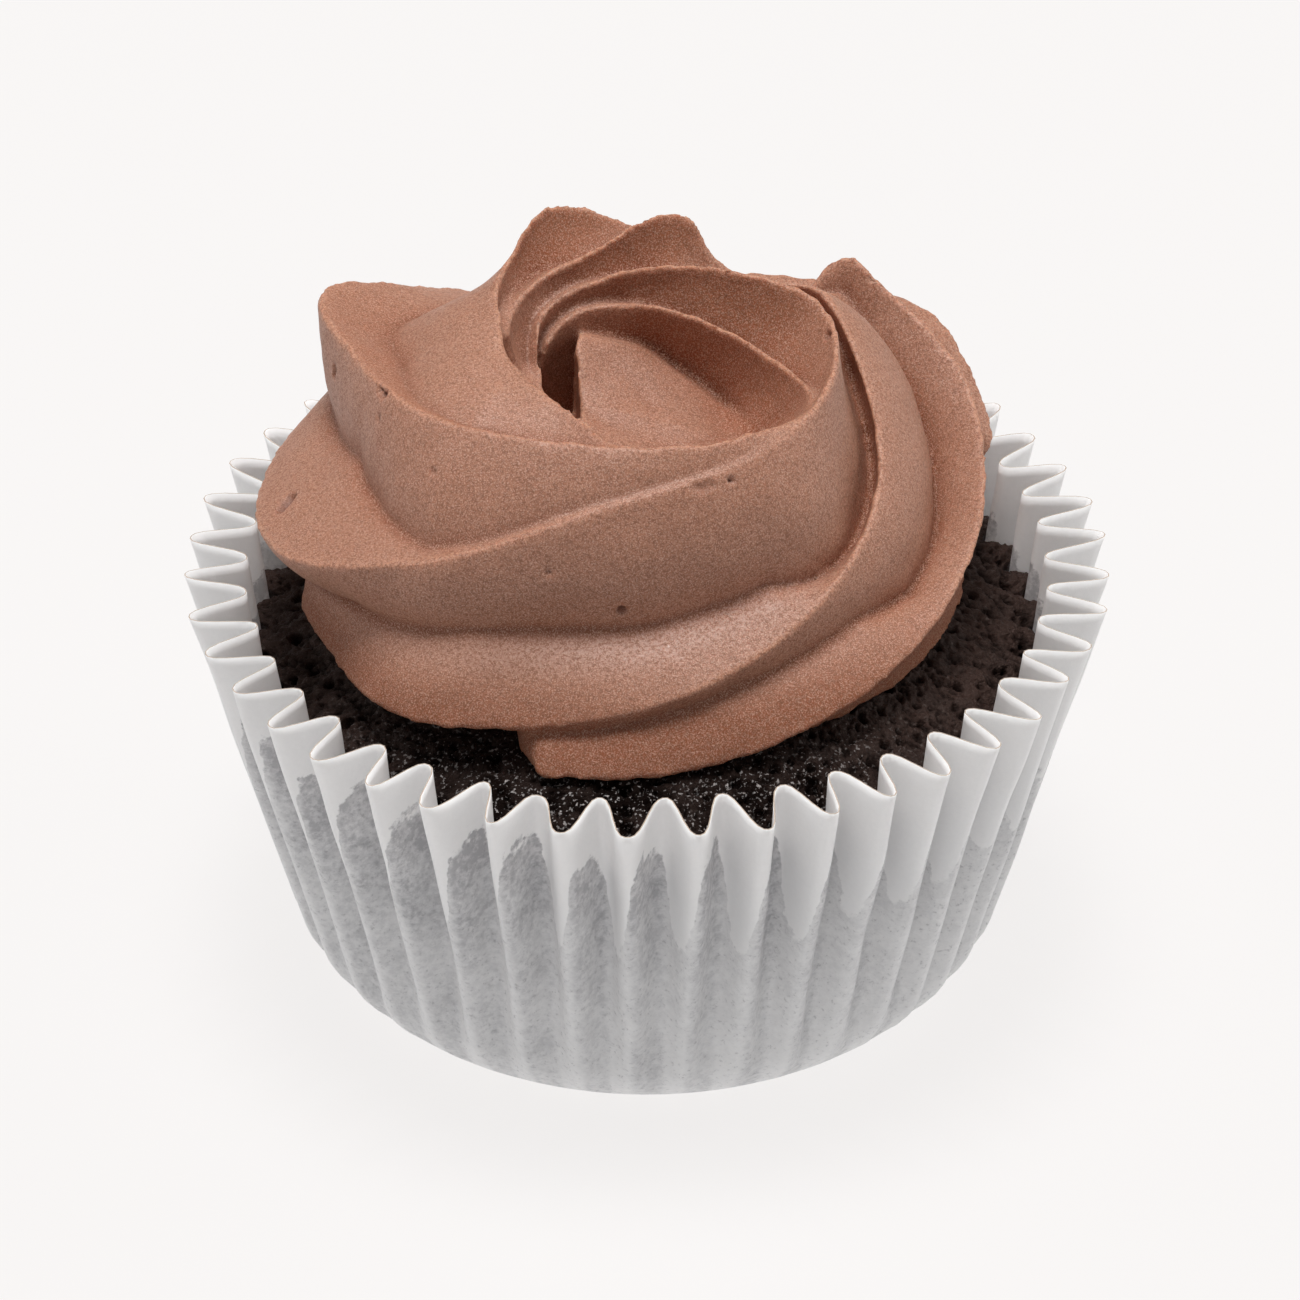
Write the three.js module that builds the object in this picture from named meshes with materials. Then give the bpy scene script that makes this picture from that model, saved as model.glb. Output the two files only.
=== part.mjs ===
// A cupcake in its paper case: a fluted white baking case, a dark chocolate sponge with a domed top,
// and chocolate buttercream piped on it in a rising spiral with a large open star nozzle.
// Millimetres, +Z up. The case stands on z = 0 with its axis on the Z axis. The front of the cake,
// where the piping begins, faces -Y.
import * as THREE from "three";

// ---------------------------------------------------------------- paper case
const CASE_HEIGHT = 36; // table to rim
const RIM_RADIUS = 37.9; // out to the outward folds
const BASE_RADIUS = 28.3; // where the straight wall would meet the table
const BASE_ROUND = 6.5; // the wall rolls under to the flat foot
const FOOT_RADIUS = 22.4; // flat that stands on the table
const WALL = 0.45; // greased paper, with the crumb that sticks to it
const FLUTES = 43;
const FLUTE_DEPTH = 5; // from an inward fold to an outward one, at the rim
const FLUTE_FACETS = 6; // columns across one flute, of the case and of the crumb
const FIRST_FOLD = 140.4; // angle of one outward fold
const FOLD_DRIFT = 1.9; // degrees that the folds crowd towards the front

// ---------------------------------------------------------------- sponge
const CRUST_EDGE = 28.7; // height where the crumb leaves the paper
const CRUST_RADIUS = 34; // there
const DOME_RISE = 7.4; // from there to the top of the dome
const CRUMB_GAP = 0.35; // between crumb and paper, and between crumb and buttercream
const CRUMB_ROOM = 0.9; // mean distance from paper to crumb
const CRUMB_SWELL = 0.7; // share of the folds that the crumb fills

// ---------------------------------------------------------------- buttercream
const EYE = [-7, 3.5]; // the spiral closes here, off the axis of the case
const EYE_HEIGHT = 45; // bottom of the hole in the eye
const FOOT_GROOVE = [0.45, 0.15, -10, -10]; // how the cream leaves the crumb, as a groove below
const HANDLE = 0.36; // of a curve, as a share of its straight length
const COLUMNS = 80; // sections round the eye
const STEPS = 2; // facets from a ridge to its groove, and as many up to the next ridge

const rad = THREE.MathUtils.degToRad;
const mix = THREE.MathUtils.lerp;

// Each ridge is the mark of one tooth of the nozzle. It runs anticlockwise seen from above, from its
// start on the outside to its end near the eye.
// stops: [angle round the eye, distance from the eye, height].
// order: sorts the ridges that cross one section. The larger it is, the further out the ridge lies.
// groove: [angle, along, depth, swell below, swell above] of the groove between this ridge and the
// next one inside it. It lies that far along the straight line to that ridge and that deep under it,
// both as shares of the line's length. A swell is the degrees by which the side below the groove, or
// the side above it, bulges where it leaves its straight line.
// fade: degrees over which the ridge rises out of a face at its start, and sinks into one at its end.
// seat: where it lies on those faces, from the ridge outside it (0) to the one inside it (1).
const RIDGES = [
  {
    // low round the back, over the left side and the front, then round the top and into the eye
    name: "first tooth",
    order: 100,
    fade: [4, 25],
    seat: [0.4, 0.4],
    stops: [
      [9, 35.4, 38.6], [14, 36.7, 40.7], [24, 36.5, 44.3], [33, 35.9, 46.1], [62, 29, 45.7],
      [110, 23.5, 43], [165, 24, 41], [207, 25.8, 43], [237, 23.3, 47], [279, 20.3, 52.5],
      [330, 22.1, 54.7], [370, 21.6, 56.5], [391, 15.1, 57.5], [430, 8.8, 56], [450, 7.2, 55],
      [466, 5.7, 54.2], [474, 4.7, 53.4], [482, 3.5, 52.6], [492, 2.3, 51.6], [520, 1.6, 50.9],
      [560, 1.3, 50.4], [600, 1.5, 50],
    ],
    groove: [
      [9, 0.5, 0.3, 0, 0], [62, 0.5, 0.25, 0, 5], [140, 0.4, 0.22, 0, 10], [165, 0.42, 0.25, 5, 15],
      [198, 0.6, 0.24, -5, 12], [216, 0.48, 0.24, 0, 15], [228, 0.32, 0.21, 5, 15],
      [240, 0.14, 0.16, 0, 18], [255, 0.09, 0.12, 0, 15], [285, 0.12, 0.14, 0, 14],
      [305, 0.2, 0.2, -5, 8], [330, 0.4, 0.22, -10, 5], [346, 0.9, 0.35, -10, 5],
      [362, 1.15, 0.5, -8, 10], [391, 1.2, 0.5, -8, 12], [415, 1.05, 0.6, -8, 12],
      [440, 0.85, 0.7, -5, 10], [485, 0.6, 0.6, 0, 0], [600, 0.6, 0.3, 0, 0],
    ],
  },
  {
    // rises at the back left, crosses the front high up and folds in behind the eye
    name: "second tooth",
    order: 50,
    fade: [14, 25],
    seat: [0.4, 0.4],
    stops: [
      [92, 22.5, 44], [126, 20.8, 50], [149, 22.6, 53], [178, 17.1, 54.3], [213, 15.2, 55.2],
      [270, 15.9, 56.3], [316, 20.1, 55.5], [341, 21.4, 54], [365, 16.3, 53.7], [394, 11.3, 54.3],
      [432, 7.5, 54], [446, 6.3, 53.5], [462, 5.1, 52.2], [471, 4.2, 51.3], [479, 3, 50.3],
      [488, 2, 49.3],
    ],
    groove: [
      [92, 0.4, 0.15, 0, 0], [149, 0.38, 0.2, 0, 10], [178, 0.3, 0.2, 0, 15],
      [213, 0.15, 0.12, 0, 15], [240, 0.1, 0.1, 0, 15], [270, 0.3, 0.3, -15, 0],
      [300, 0.5, 0.3, -20, -5], [320, 0.54, 0.25, -20, 0], [341, 0.55, 0.21, -16, -5],
      [358, 0.72, 0.2, -14, -12], [368, 0.88, 0.26, -12, 0], [376, 1.05, 0.36, -8, 10],
      [394, 1.25, 0.36, -8, 12], [414, 1, 0.6, -2, 12], [432, 0.9, 0.75, 0, 10],
      [488, 0.5, 0.5, 0, 0],
    ],
  },
  {
    // lowest lip at the front left, climbs round the right side over a deep slit
    name: "third tooth",
    order: 170,
    fade: [3, 12],
    seat: [0.3, 0.9],
    stops: [
      [195, 22, 34], [218, 23.4, 34.5], [242, 27.2, 35.2], [266.8, 26.8, 36.2], [295.8, 28.2, 39.5],
      [320, 28.3, 43.5], [343, 26.9, 47.6], [364, 24.3, 52], [382, 23, 54.5], [394, 22.4, 54.5],
    ],
    groove: [
      [195, 0.3, 0.2, 5, 10], [206, 0.4, 0.26, 10, 15], [221, 0.5, 0.28, 10, 18],
      [238, 0.54, 0.2, 10, 20], [251, 0.54, 0.17, 10, 20], [266, 0.47, 0.17, 10, 22],
      [284, 0.37, 0.2, 10, 24], [301, 0.31, 0.24, 8, 24], [313, 0.24, 0.24, 5, 24],
      [324, -0.04, 0.27, 5, 20], [332, -0.2, 0.3, -5, 12], [340, -0.34, 0.38, -14, 4],
      [350, -0.5, 0.36, -22, -6], [360, -0.7, 0.38, -24, -14], [370, -0.95, 0.46, -24, -20],
      [384, -0.3, 0.46, -10, -14], [394, 0, 0.35, 0, 0],
    ],
  },
  {
    // start of the rope: a blunt end low at the front, the widest lobe on the right
    name: "fourth tooth",
    order: 260,
    fade: [3, 30],
    seat: [0.3, 0.4],
    stops: [
      [264, 28.2, 32.4], [292, 30.3, 33], [319, 32.8, 36], [346, 34.4, 40], [369, 34.9, 43.7],
      [376, 34.8, 45.3], [382, 34, 46.8], [390, 32.1, 49.2], [395, 30.9, 50.9], [397.5, 30.6, 51.6],
      [400.5, 29.6, 50.8], [403.5, 28.4, 48], [409, 27.4, 47.6], [421, 24.5, 48.4],
      [445, 19.5, 50.5], [485, 17, 49.5],
    ],
    groove: [
      [264, 0.85, 0.25, 10, 0], [300, 0.78, 0.25, 12, 5], [325, 0.52, 0.26, 12, 20],
      [338, 0.19, 0.39, 16, 28], [355, 0.05, 0.47, 18, 30], [369, 0.04, 0.46, 18, 30],
      [378, 0.05, 0.46, 18, 28], [386, 0.05, 0.46, 12, 22], [396, 0.06, 0.38, 5, 12],
      [404, 0.3, 0.3, 0, 5], [421, 0.5, 0.2, 0, 0], [485, 0.5, 0.1, 0, 0],
    ],
  },
  {
    // lobe that the others rest on, round the back
    name: "lowest tooth",
    order: 150,
    fade: [12, 15],
    seat: [0.4, 0.4],
    stops: [
      [22, 34.5, 35], [50, 31.8, 38.5], [90, 26.8, 38.3], [130, 24, 37], [168, 22.5, 35],
    ],
    groove: [
      [22, 0.5, 0.25, 10, 10], [168, 0.5, 0.25, 10, 10],
    ],
  },
  {
    // tallest petal, behind and left of the eye
    name: "fifth tooth",
    order: -110,
    fade: [16, 14],
    seat: [0.4, 0.02],
    stops: [
      [40, 20, 51], [70, 17.6, 56], [94, 13.8, 59.7], [117, 9.3, 58], [165, 5, 57],
      [228, 5.8, 56.3], [267, 9.1, 55.8], [291, 16, 56],
    ],
    groove: [
      [40, 0.6, 0.3, -15, 0], [94, 0.8, 0.4, -15, 5], [117, 0.8, 0.55, -15, 5],
      [165, 0.5, 0.45, -5, 5], [228, 0.5, 0.45, -5, 5], [291, 0.5, 0.3, -20, 0],
    ],
  },
  {
    // petal beside it, down the left side of the eye
    name: "sixth tooth",
    order: -160,
    fade: [14, 30],
    seat: [0.4, 0.1],
    stops: [
      [28, 23, 50], [45, 18.2, 54.8], [54, 16.9, 59.2], [75, 10.5, 57.8], [103, 7.8, 56.5],
      [125, 6.2, 55.9], [141, 5.3, 55.4], [160, 4.5, 54.9], [182, 4.1, 54.6],
    ],
    groove: [
      [28, 0.6, 0.3, -15, 0], [54, 0.82, 0.4, -15, 5], [75, 0.8, 0.55, -15, 5],
      [135, 0.8, 0.35, -10, 0], [182, 0.7, 0.2, -10, 0],
    ],
  },
  {
    // flap where the nozzle was pulled away, right of the eye
    name: "last fold",
    order: -350,
    fade: [22, 5],
    seat: [0.6, 0.4],
    stops: [
      [-30, 12.6, 47.6], [-12, 12.8, 47.3], [5, 12.6, 47.2], [16, 11.8, 47.8], [28, 10.8, 48.8],
      [38, 9.8, 49.7], [47, 8.6, 50.6], [57, 7.1, 51.5], [80, 5.5, 52.5],
    ],
    groove: [
      [-30, 0.5, 0, 6, 6], [20, 0.5, 0, 10, 10], [80, 0.5, 0, 8, 8],
    ],
  },
  {
    // cut edge of the flap, over the hole
    name: "cut edge",
    order: -500,
    fade: [25, 5],
    seat: [0.7, 0.4],
    stops: [
      [-95, 5.5, 48.9], [-75, 4.3, 49.3], [-60, 3.2, 49.5], [-34, 2, 49.4], [20, 1.7, 50],
      [55, 2.4, 51], [70, 3.9, 51.9], [79, 4.9, 52.4],
    ],
    groove: [
      [-60, 0.65, 0.42, 0, 0], [-34, 0.63, 0.44, 0, 0], [20, 0.81, 0.32, 0, 0],
      [45, 0.79, 0.33, 0, 0], [80, 0.69, 0.41, 0, 0],
    ],
  },
];

// Where the buttercream sits on the crumb: [angle round the eye, distance from the eye].
const FOOT = [
  [0, 33], [40, 32], [90, 24.5], [150, 20.5], [190, 19.5], [215, 19.5], [245, 20], [259, 20.5],
  [264, 26], [270, 27], [300, 29], [330, 31.5], [360, 33],
];

// A smooth curve through stops whose first number is the angle.
function follow(stops, angle) {
  let i = 1;
  while (i < stops.length - 1 && stops[i][0] < angle) i++;
  const a = stops[i - 1];
  const b = stops[i];
  const before = stops[i - 2] ?? a;
  const after = stops[i + 1] ?? b;
  const span = b[0] - a[0];
  const t = (angle - a[0]) / span;
  return a.slice(1).map((_, k) => {
    const n = k + 1;
    const slopeA = ((b[n] - before[n]) / (b[0] - before[0])) * span;
    const slopeB = ((after[n] - a[n]) / (after[0] - a[0])) * span;
    return (
      a[n] * (2 * t ** 3 - 3 * t ** 2 + 1) +
      slopeA * (t ** 3 - 2 * t ** 2 + t) +
      b[n] * (3 * t ** 2 - 2 * t ** 3) +
      slopeB * (t ** 3 - t ** 2)
    );
  });
}

const domeHeight = (r) => CRUST_EDGE + DOME_RISE * (1 - (r / CRUST_RADIUS) ** 2);

// A point of a section round the eye, [distance, height], as [x, y, z].
function place(angle, [distance, height]) {
  return [
    EYE[0] + distance * Math.cos(rad(angle)),
    EYE[1] + distance * Math.sin(rad(angle)),
    height,
  ];
}

// Where the section leaves the crumb.
function footPoint(angle, share) {
  const distance = share * follow(FOOT, ((angle % 360) + 360) % 360)[0];
  const [x, y] = place(angle, [distance, 0]);
  return [distance, domeHeight(Math.hypot(x, y)) + CRUMB_GAP];
}

const turned = ([x, y], degrees, reach) => [
  reach * (x * Math.cos(rad(degrees)) - y * Math.sin(rad(degrees))),
  reach * (x * Math.sin(rad(degrees)) + y * Math.cos(rad(degrees))),
];
const plus = (a, b) => [a[0] + b[0], a[1] + b[1]];
const minus = (a, b) => [a[0] - b[0], a[1] - b[1]];
const between = (a, b, t) => [mix(a[0], b[0], t), mix(a[1], b[1], t)];

// A curve of four control points that leaves its straight line by 'swell' degrees at both ends.
function side(start, end, swell) {
  const line = minus(end, start);
  return [
    start,
    plus(start, turned(line, -swell, HANDLE)),
    minus(end, turned(line, swell, HANDLE)),
    end,
  ];
}

// One face of the section: down from a ridge into its groove, and up to the next ridge.
function face(low, high) {
  const [along, depth, swellBelow, swellAbove] = low.groove;
  const line = minus(high.crest, low.crest);
  const bottom = plus(between(low.crest, high.crest, along), turned(line, 90, depth));
  return [side(low.crest, bottom, swellBelow), side(bottom, high.crest, swellAbove)];
}

// Cuts a curve in two at t, so that nothing of its shape changes.
function halves([p, q, r, s], t) {
  const [pq, qr, rs] = [between(p, q, t), between(q, r, t), between(r, s, t)];
  const [pqr, qrs] = [between(pq, qr, t), between(qr, rs, t)];
  const middle = between(pqr, qrs, t);
  return [
    [p, pq, pqr, middle],
    [middle, qrs, rs, s],
  ];
}

// Cuts a face of two curves in two faces of two curves.
function cut([below, above], t) {
  if (t < 0.5) {
    const [outside, rest] = halves(below, 2 * t);
    return [halves(outside, 0.5), [rest, above]];
  }
  const [outside, rest] = halves(above, 2 * t - 1);
  return [[below, outside], halves(rest, 0.5)];
}

function onCurve([p, q, r, s], t) {
  const u = 1 - t;
  return [0, 1].map(
    (n) => u ** 3 * p[n] + 3 * u * u * t * q[n] + 3 * u * t * t * r[n] + t ** 3 * s[n],
  );
}

// Straight steps between stops whose first number is the angle.
function steps(stops, angle) {
  const i = stops.findIndex((stop) => stop[0] > angle);
  if (i <= 0) return stops.at(i).slice(1);
  const [a, b] = [stops[i - 1], stops[i]];
  return a.slice(1).map((v, n) => mix(v, b[n + 1], (angle - a[0]) / (b[0] - a[0])));
}

// The ridges that cross the section at one angle, from the outside in. A ridge that is only
// beginning or ending has a weight between 0 and 1.
function crossing(angle) {
  const found = [];
  for (const ridge of RIDGES) {
    const first = ridge.stops[0][0];
    const last = ridge.stops.at(-1)[0];
    for (let at = angle - 360; at <= last; at += 360) {
      if (at < first) continue;
      const risen = THREE.MathUtils.smoothstep(at, first, first + ridge.fade[0]);
      const sunk = THREE.MathUtils.smoothstep(at, last - ridge.fade[1], last);
      found.push({
        lip: `${ridge.name} ${Math.round((at - angle) / 360)}`,
        rank: at - ridge.order,
        weight: Math.min(risen, 1 - sunk),
        seat: ridge.seat[sunk > 0 ? 1 : 0],
        groove: steps(ridge.groove, at),
        crest: follow(ridge.stops, at),
      });
    }
  }
  return found.sort((a, b) => a.rank - b.rank);
}

// The faces of one section when only some of its ridges stand. The others lie in the faces of their
// neighbours, at their seats.
function faces(all, stands) {
  const row = [];
  let low = all[0];
  let waiting = [];
  for (const one of all.slice(1)) {
    if (!stands(one)) {
      waiting.push(one);
      continue;
    }
    let rest = face(low, one);
    for (const flat of waiting) {
      const [outside, inside] = cut(rest, flat.seat);
      row.push(outside);
      rest = inside;
    }
    row.push(rest);
    waiting = [];
    low = one;
  }
  return row;
}

// The section of the buttercream at one angle: the face below each ridge, from the crumb to the eye.
// It is the mean of every way in which the half-risen ridges can stand or lie, by their weights.
function section(angle) {
  const foot = { crest: footPoint(angle, 1), groove: FOOT_GROOVE };
  const eye = { lip: "eye", crest: [0, EYE_HEIGHT] };
  const all = [foot, ...crossing(angle), eye];
  const half = all.filter((one) => one.weight < 1);
  const row = all.slice(1).map(() => [0, 1].map(() => [0, 1, 2, 3].map(() => [0, 0])));
  for (let mask = 0; mask < 2 ** half.length; mask++) {
    const standing = (one) => one.weight === undefined || one.weight === 1 ||
      (mask & (1 << half.indexOf(one))) !== 0;
    const share = half.reduce(
      (product, one) => product * (standing(one) ? one.weight : 1 - one.weight),
      1,
    );
    if (share === 0) continue;
    faces(all, standing).forEach((curves, i) =>
      curves.forEach((points, part) =>
        points.forEach((p, k) => {
          row[i][part][k][0] += share * p[0];
          row[i][part][k][1] += share * p[1];
        }),
      ),
    );
  }
  return all.slice(1).map((one, i) => ({ ...one, below: row[i] }));
}

// Adds triangles to a list of corner coordinates.
function triangle(list, a, b, c) {
  list.push(...a, ...b, ...c);
}

// Joins two rows of points that run the same way, each point to the one nearest along the other row.
function lace(list, left, right) {
  const along = (row) => {
    const sums = [0];
    for (let i = 1; i < row.length; i++) {
      sums.push(sums[i - 1] + Math.hypot(...row[i].xyz.map((v, n) => v - row[i - 1].xyz[n])));
    }
    return sums.map((sum) => sum / sums.at(-1));
  };
  const [alongLeft, alongRight] = [along(left), along(right)];
  let [i, j] = [0, 0];
  while (i < left.length - 1 || j < right.length - 1) {
    const leftNext = (alongLeft[i] + (alongLeft[i + 1] ?? Infinity)) / 2;
    const rightNext = (alongRight[j] + (alongRight[j + 1] ?? Infinity)) / 2;
    if (leftNext < rightNext) triangle(list, left[i].xyz, right[j].xyz, left[++i].xyz);
    else triangle(list, left[i].xyz, right[j].xyz, right[++j].xyz);
  }
}

// Joins two neighbouring sections, lip to lip and groove to groove.
function join(list, left, right) {
  let [i, j] = [0, 0];
  left.forEach(({ lip }, end) => {
    const same = right.findIndex((point) => lip && point.lip === lip);
    if (same < 0) return;
    lace(list, left.slice(i, end + 1), right.slice(j, same + 1));
    [i, j] = [end, same];
  });
}

function solid(list) {
  const geometry = new THREE.BufferGeometry();
  geometry.setAttribute("position", new THREE.Float32BufferAttribute(list, 3));
  geometry.computeVertexNormals();
  return geometry;
}

// The points of one section: in along the crumb's top, then up over the ridges to the eye.
function outline(angle) {
  const points = [0, 0.25, 0.5, 0.75, 1].map((share) => ({
    xyz: place(angle, footPoint(angle, share)),
  }));
  points.at(-1).lip = "foot";
  for (const { lip, below } of section(angle)) {
    [`groove below ${lip}`, lip].forEach((end, part) => {
      for (let k = 1; k <= STEPS; k++) {
        const [distance, height] = onCurve(below[part], k / STEPS);
        points.push({ xyz: place(angle, [Math.max(distance, 0), height]) });
      }
      points.at(-1).lip = end;
    });
  }
  return points;
}

function buttercream() {
  const list = [];
  for (let n = 0; n < COLUMNS; n++) {
    join(list, outline((360 * n) / COLUMNS), outline((360 * (n + 1)) / COLUMNS));
  }
  return solid(list);
}

// ---------------------------------------------------------------- case and sponge

// Radius of the case half way between its folds, by height.
function wallRadius(z) {
  const straight = mix(BASE_RADIUS, RIM_RADIUS - FLUTE_DEPTH / 2, z / CASE_HEIGHT);
  if (z >= BASE_ROUND) return straight;
  const roll = Math.sqrt(1 - (1 - z / BASE_ROUND) ** 2);
  return mix(FOOT_RADIUS, straight, roll);
}

// Depth of the folds: nothing at the foot, full at the rim.
const foldDepth = (z) => FLUTE_DEPTH * Math.max(0, (z - 2) / (CASE_HEIGHT - 2)) ** 0.9;

// A closed ring with the same number of columns on every flute. 'at' gives [radius, height] from
// how far the column lies out (1) or in (-1) on its fold.
function loop(at) {
  const count = FLUTES * FLUTE_FACETS;
  return Array.from({ length: count }, (_, n) => {
    const even = FIRST_FOLD + (360 * n) / count;
    const angle = rad(even + FOLD_DRIFT * Math.cos(rad(even - 265)));
    const [r, z] = at(Math.cos((2 * Math.PI * n) / FLUTE_FACETS));
    return [r * Math.cos(angle), r * Math.sin(angle), z];
  });
}

// A skin over a row of rings, from the one round the point 'bottom' to the one round 'top'.
function tube(rings, bottom, top) {
  const list = [];
  rings[0].forEach((_, n, { length }) => {
    const m = (n + 1) % length;
    triangle(list, bottom, rings[0][m], rings[0][n]);
    for (let i = 0; i < rings.length - 1; i++) {
      triangle(list, rings[i][n], rings[i][m], rings[i + 1][m]);
      triangle(list, rings[i][n], rings[i + 1][m], rings[i + 1][n]);
    }
    triangle(list, rings.at(-1)[n], rings.at(-1)[m], top);
  });
  return solid(list);
}

function paperCase() {
  const heights = [0, 1.2, 4, 9, CASE_HEIGHT];
  const wall = (z, inset, at) =>
    loop((out) => [wallRadius(z) + (out * foldDepth(z)) / 2 - inset, at]);
  const outside = heights.map((z) => wall(z, 0, z));
  const inside = heights.reverse().map((z) => wall(z, WALL, Math.max(z, WALL)));
  return tube([...outside, ...inside], [0, 0, 0], [0, 0, WALL]);
}

// The crumb swells a little way into the folds of the paper.
function sponge() {
  const floor = WALL + CRUMB_GAP;
  const radius = (z, out) =>
    wallRadius(z) - WALL - CRUMB_ROOM + (CRUMB_SWELL * out * foldDepth(z)) / 2;
  const side = [0, 4, 9].map((z) => loop((out) => [radius(z, out), Math.max(z, floor)]));
  const top = [1, 0.92, 0.7, 0.4].map((share) =>
    loop((out) => {
      const r = share * mix(CRUST_RADIUS - CRUMB_ROOM, radius(CRUST_EDGE, out), share ** 6);
      return [r, domeHeight(r)];
    }),
  );
  return tube([...side, ...top], [0, 0, floor], [0, 0, domeHeight(0)]);
}

const group = new THREE.Group();
function piece(name, geometry, color, roughness) {
  const mesh = new THREE.Mesh(
    geometry,
    new THREE.MeshStandardMaterial({ color, roughness, metalness: 0 }),
  );
  mesh.name = name;
  group.add(mesh);
}
piece("paper_case", paperCase(), "#e9e6e4", 0.85);
piece("sponge", sponge(), "#1f1614", 0.8);
piece("buttercream", buttercream(), "#9c6f5c", 0.6);

export default group;
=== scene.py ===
# %% [markdown]
# # A cupcake: pleated paper, dark crumb and a piped swirl
#
# This lesson dresses three plain solids as a real cupcake. A cupcake is three very different
# materials in a very small space: paper that is nearly see-through, a crumb so dark and open that it
# swallows the light, and a soft cream that lets light sink a millimetre deep before it comes back.
# First we load the solids, which say exactly where everything sits.

# %% Load the plain solids
from math import atan2, cos, hypot, pi, radians, sin

import bmesh
import bpy
import numpy as np
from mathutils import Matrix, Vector
from mathutils.kdtree import KDTree


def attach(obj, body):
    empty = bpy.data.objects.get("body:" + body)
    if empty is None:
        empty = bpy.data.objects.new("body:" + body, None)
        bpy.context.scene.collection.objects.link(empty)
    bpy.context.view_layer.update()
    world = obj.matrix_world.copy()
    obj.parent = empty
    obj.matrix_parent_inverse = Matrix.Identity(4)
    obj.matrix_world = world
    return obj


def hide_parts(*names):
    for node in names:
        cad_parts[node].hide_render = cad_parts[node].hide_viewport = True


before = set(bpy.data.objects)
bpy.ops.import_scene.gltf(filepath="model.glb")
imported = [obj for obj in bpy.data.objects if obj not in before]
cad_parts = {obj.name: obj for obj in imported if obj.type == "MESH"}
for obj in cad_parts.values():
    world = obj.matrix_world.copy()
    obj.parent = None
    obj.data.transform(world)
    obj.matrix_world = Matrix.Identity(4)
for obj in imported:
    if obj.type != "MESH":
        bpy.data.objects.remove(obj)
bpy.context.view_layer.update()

MM = 0.001
scene = bpy.context.scene

# %% [markdown]
# ## The stand: camera, floor and light
#
# Food is usually shot from a little above eye level at the table, through a long lens that keeps the
# case from looking wider at the top than it is. The lens sits 700 mm away, 34.5 degrees up. The
# table is a pale sheet, bright enough to melt into the background. Most of the light comes from a
# soft lamp overhead, some from both sides and hardly any from the front, so that the pleats keep
# grey between them and every fold of the cream has a lit side and a dull one.

# %% Camera
LENS_DISTANCE = 700 * MM
LENS_HEIGHT = 34.55  # degrees above the table
AIM = Vector((0, 0, 36 * MM))
PICTURE_POINTS = 1300
PICTURE_WIDTH = PICTURE_POINTS / 12.2 * MM  # 12.2 points to the millimetre at the cupcake's axis
OFF_CENTRE = (3.2, -86)  # points that the picture is moved aside and up
SENSOR = 36.0

camera = bpy.data.objects.new("camera", bpy.data.cameras.new("camera"))
scene.collection.objects.link(camera)
camera.data.sensor_width = SENSOR
camera.data.lens = SENSOR * LENS_DISTANCE / PICTURE_WIDTH
camera.data.shift_x, camera.data.shift_y = [points / PICTURE_POINTS for points in OFF_CENTRE]
camera.data.clip_start = 0.01
tilt = radians(LENS_HEIGHT)
camera.location = AIM + LENS_DISTANCE * Vector((0, -cos(tilt), sin(tilt)))
camera.rotation_euler = (pi / 2 - tilt, 0, 0)
scene.camera = camera
print("lens:", round(camera.data.lens, 1), "mm")

# %% Table, tent and lamps
scene.view_settings.view_transform = "Standard"


def lamp(name, place, size, watts, colour=(1, 1, 1)):
    """A soft square lamp that looks at the cupcake."""
    made = bpy.data.objects.new(name, bpy.data.lights.new(name, "AREA"))
    scene.collection.objects.link(made)
    made.data.size = size
    made.data.energy = watts
    made.data.color = colour
    made.location = place
    made.rotation_euler = (AIM - Vector(place)).to_track_quat("-Z", "Y").to_euler()
    return made


lamp("left lamp", (-0.75, 0.15, 0.55), 0.4, 1.5, (0.97, 0.985, 1.0))
lamp("right lamp", (0.75, 0.2, 0.5), 0.4, 2.2, (1.0, 0.985, 0.97))
lamp("top lamp", (-0.02, 0.02, 0.95), 0.35, 8.3)
lamp("front lamp", (-0.15, -0.85, 0.32), 0.5, 0.6)

world = bpy.data.worlds.new("tent")
scene.world = world
world.use_nodes = True
sky = world.node_tree.nodes["Background"]
sky.inputs["Color"].default_value = (1.0, 0.995, 0.99, 1)
sky.inputs["Strength"].default_value = 0.15

TABLE_REACH = 3.0
corners = [(-1, -1), (1, -1), (1, 1), (-1, 1)]
table_mesh = bpy.data.meshes.new("table")
table_mesh.from_pydata([(x * TABLE_REACH, y * TABLE_REACH, 0) for x, y in corners], [], [(0, 1, 2, 3)])
table = bpy.data.objects.new("table", table_mesh)
scene.collection.objects.link(table)
sheet = bpy.data.materials.new("pale sheet")
sheet.use_nodes = True
shader = sheet.node_tree.nodes["Principled BSDF"]
shader.inputs["Base Color"].default_value = (0.10, 0.098, 0.097, 1)
shader.inputs["Roughness"].default_value = 1.0
shader.inputs["Specular IOR Level"].default_value = 0.0
shader.inputs["Emission Strength"].default_value = 1.0
seen = sheet.node_tree.nodes.new("ShaderNodeLightPath")  # the sheet may look brighter than it lights
glow = sheet.node_tree.nodes.new("ShaderNodeMix")
glow.data_type = "RGBA"
glow.inputs[6].default_value = (0.80, 0.79, 0.785, 1)  # what the sheet throws back on the case
glow.inputs[7].default_value = (0.82, 0.803, 0.795, 1)  # how bright it looks
sheet.node_tree.links.new(seen.outputs["Is Camera Ray"], glow.inputs[0])
sheet.node_tree.links.new(glow.outputs[2], shader.inputs["Emission Color"])
table_mesh.materials.append(sheet)

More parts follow.
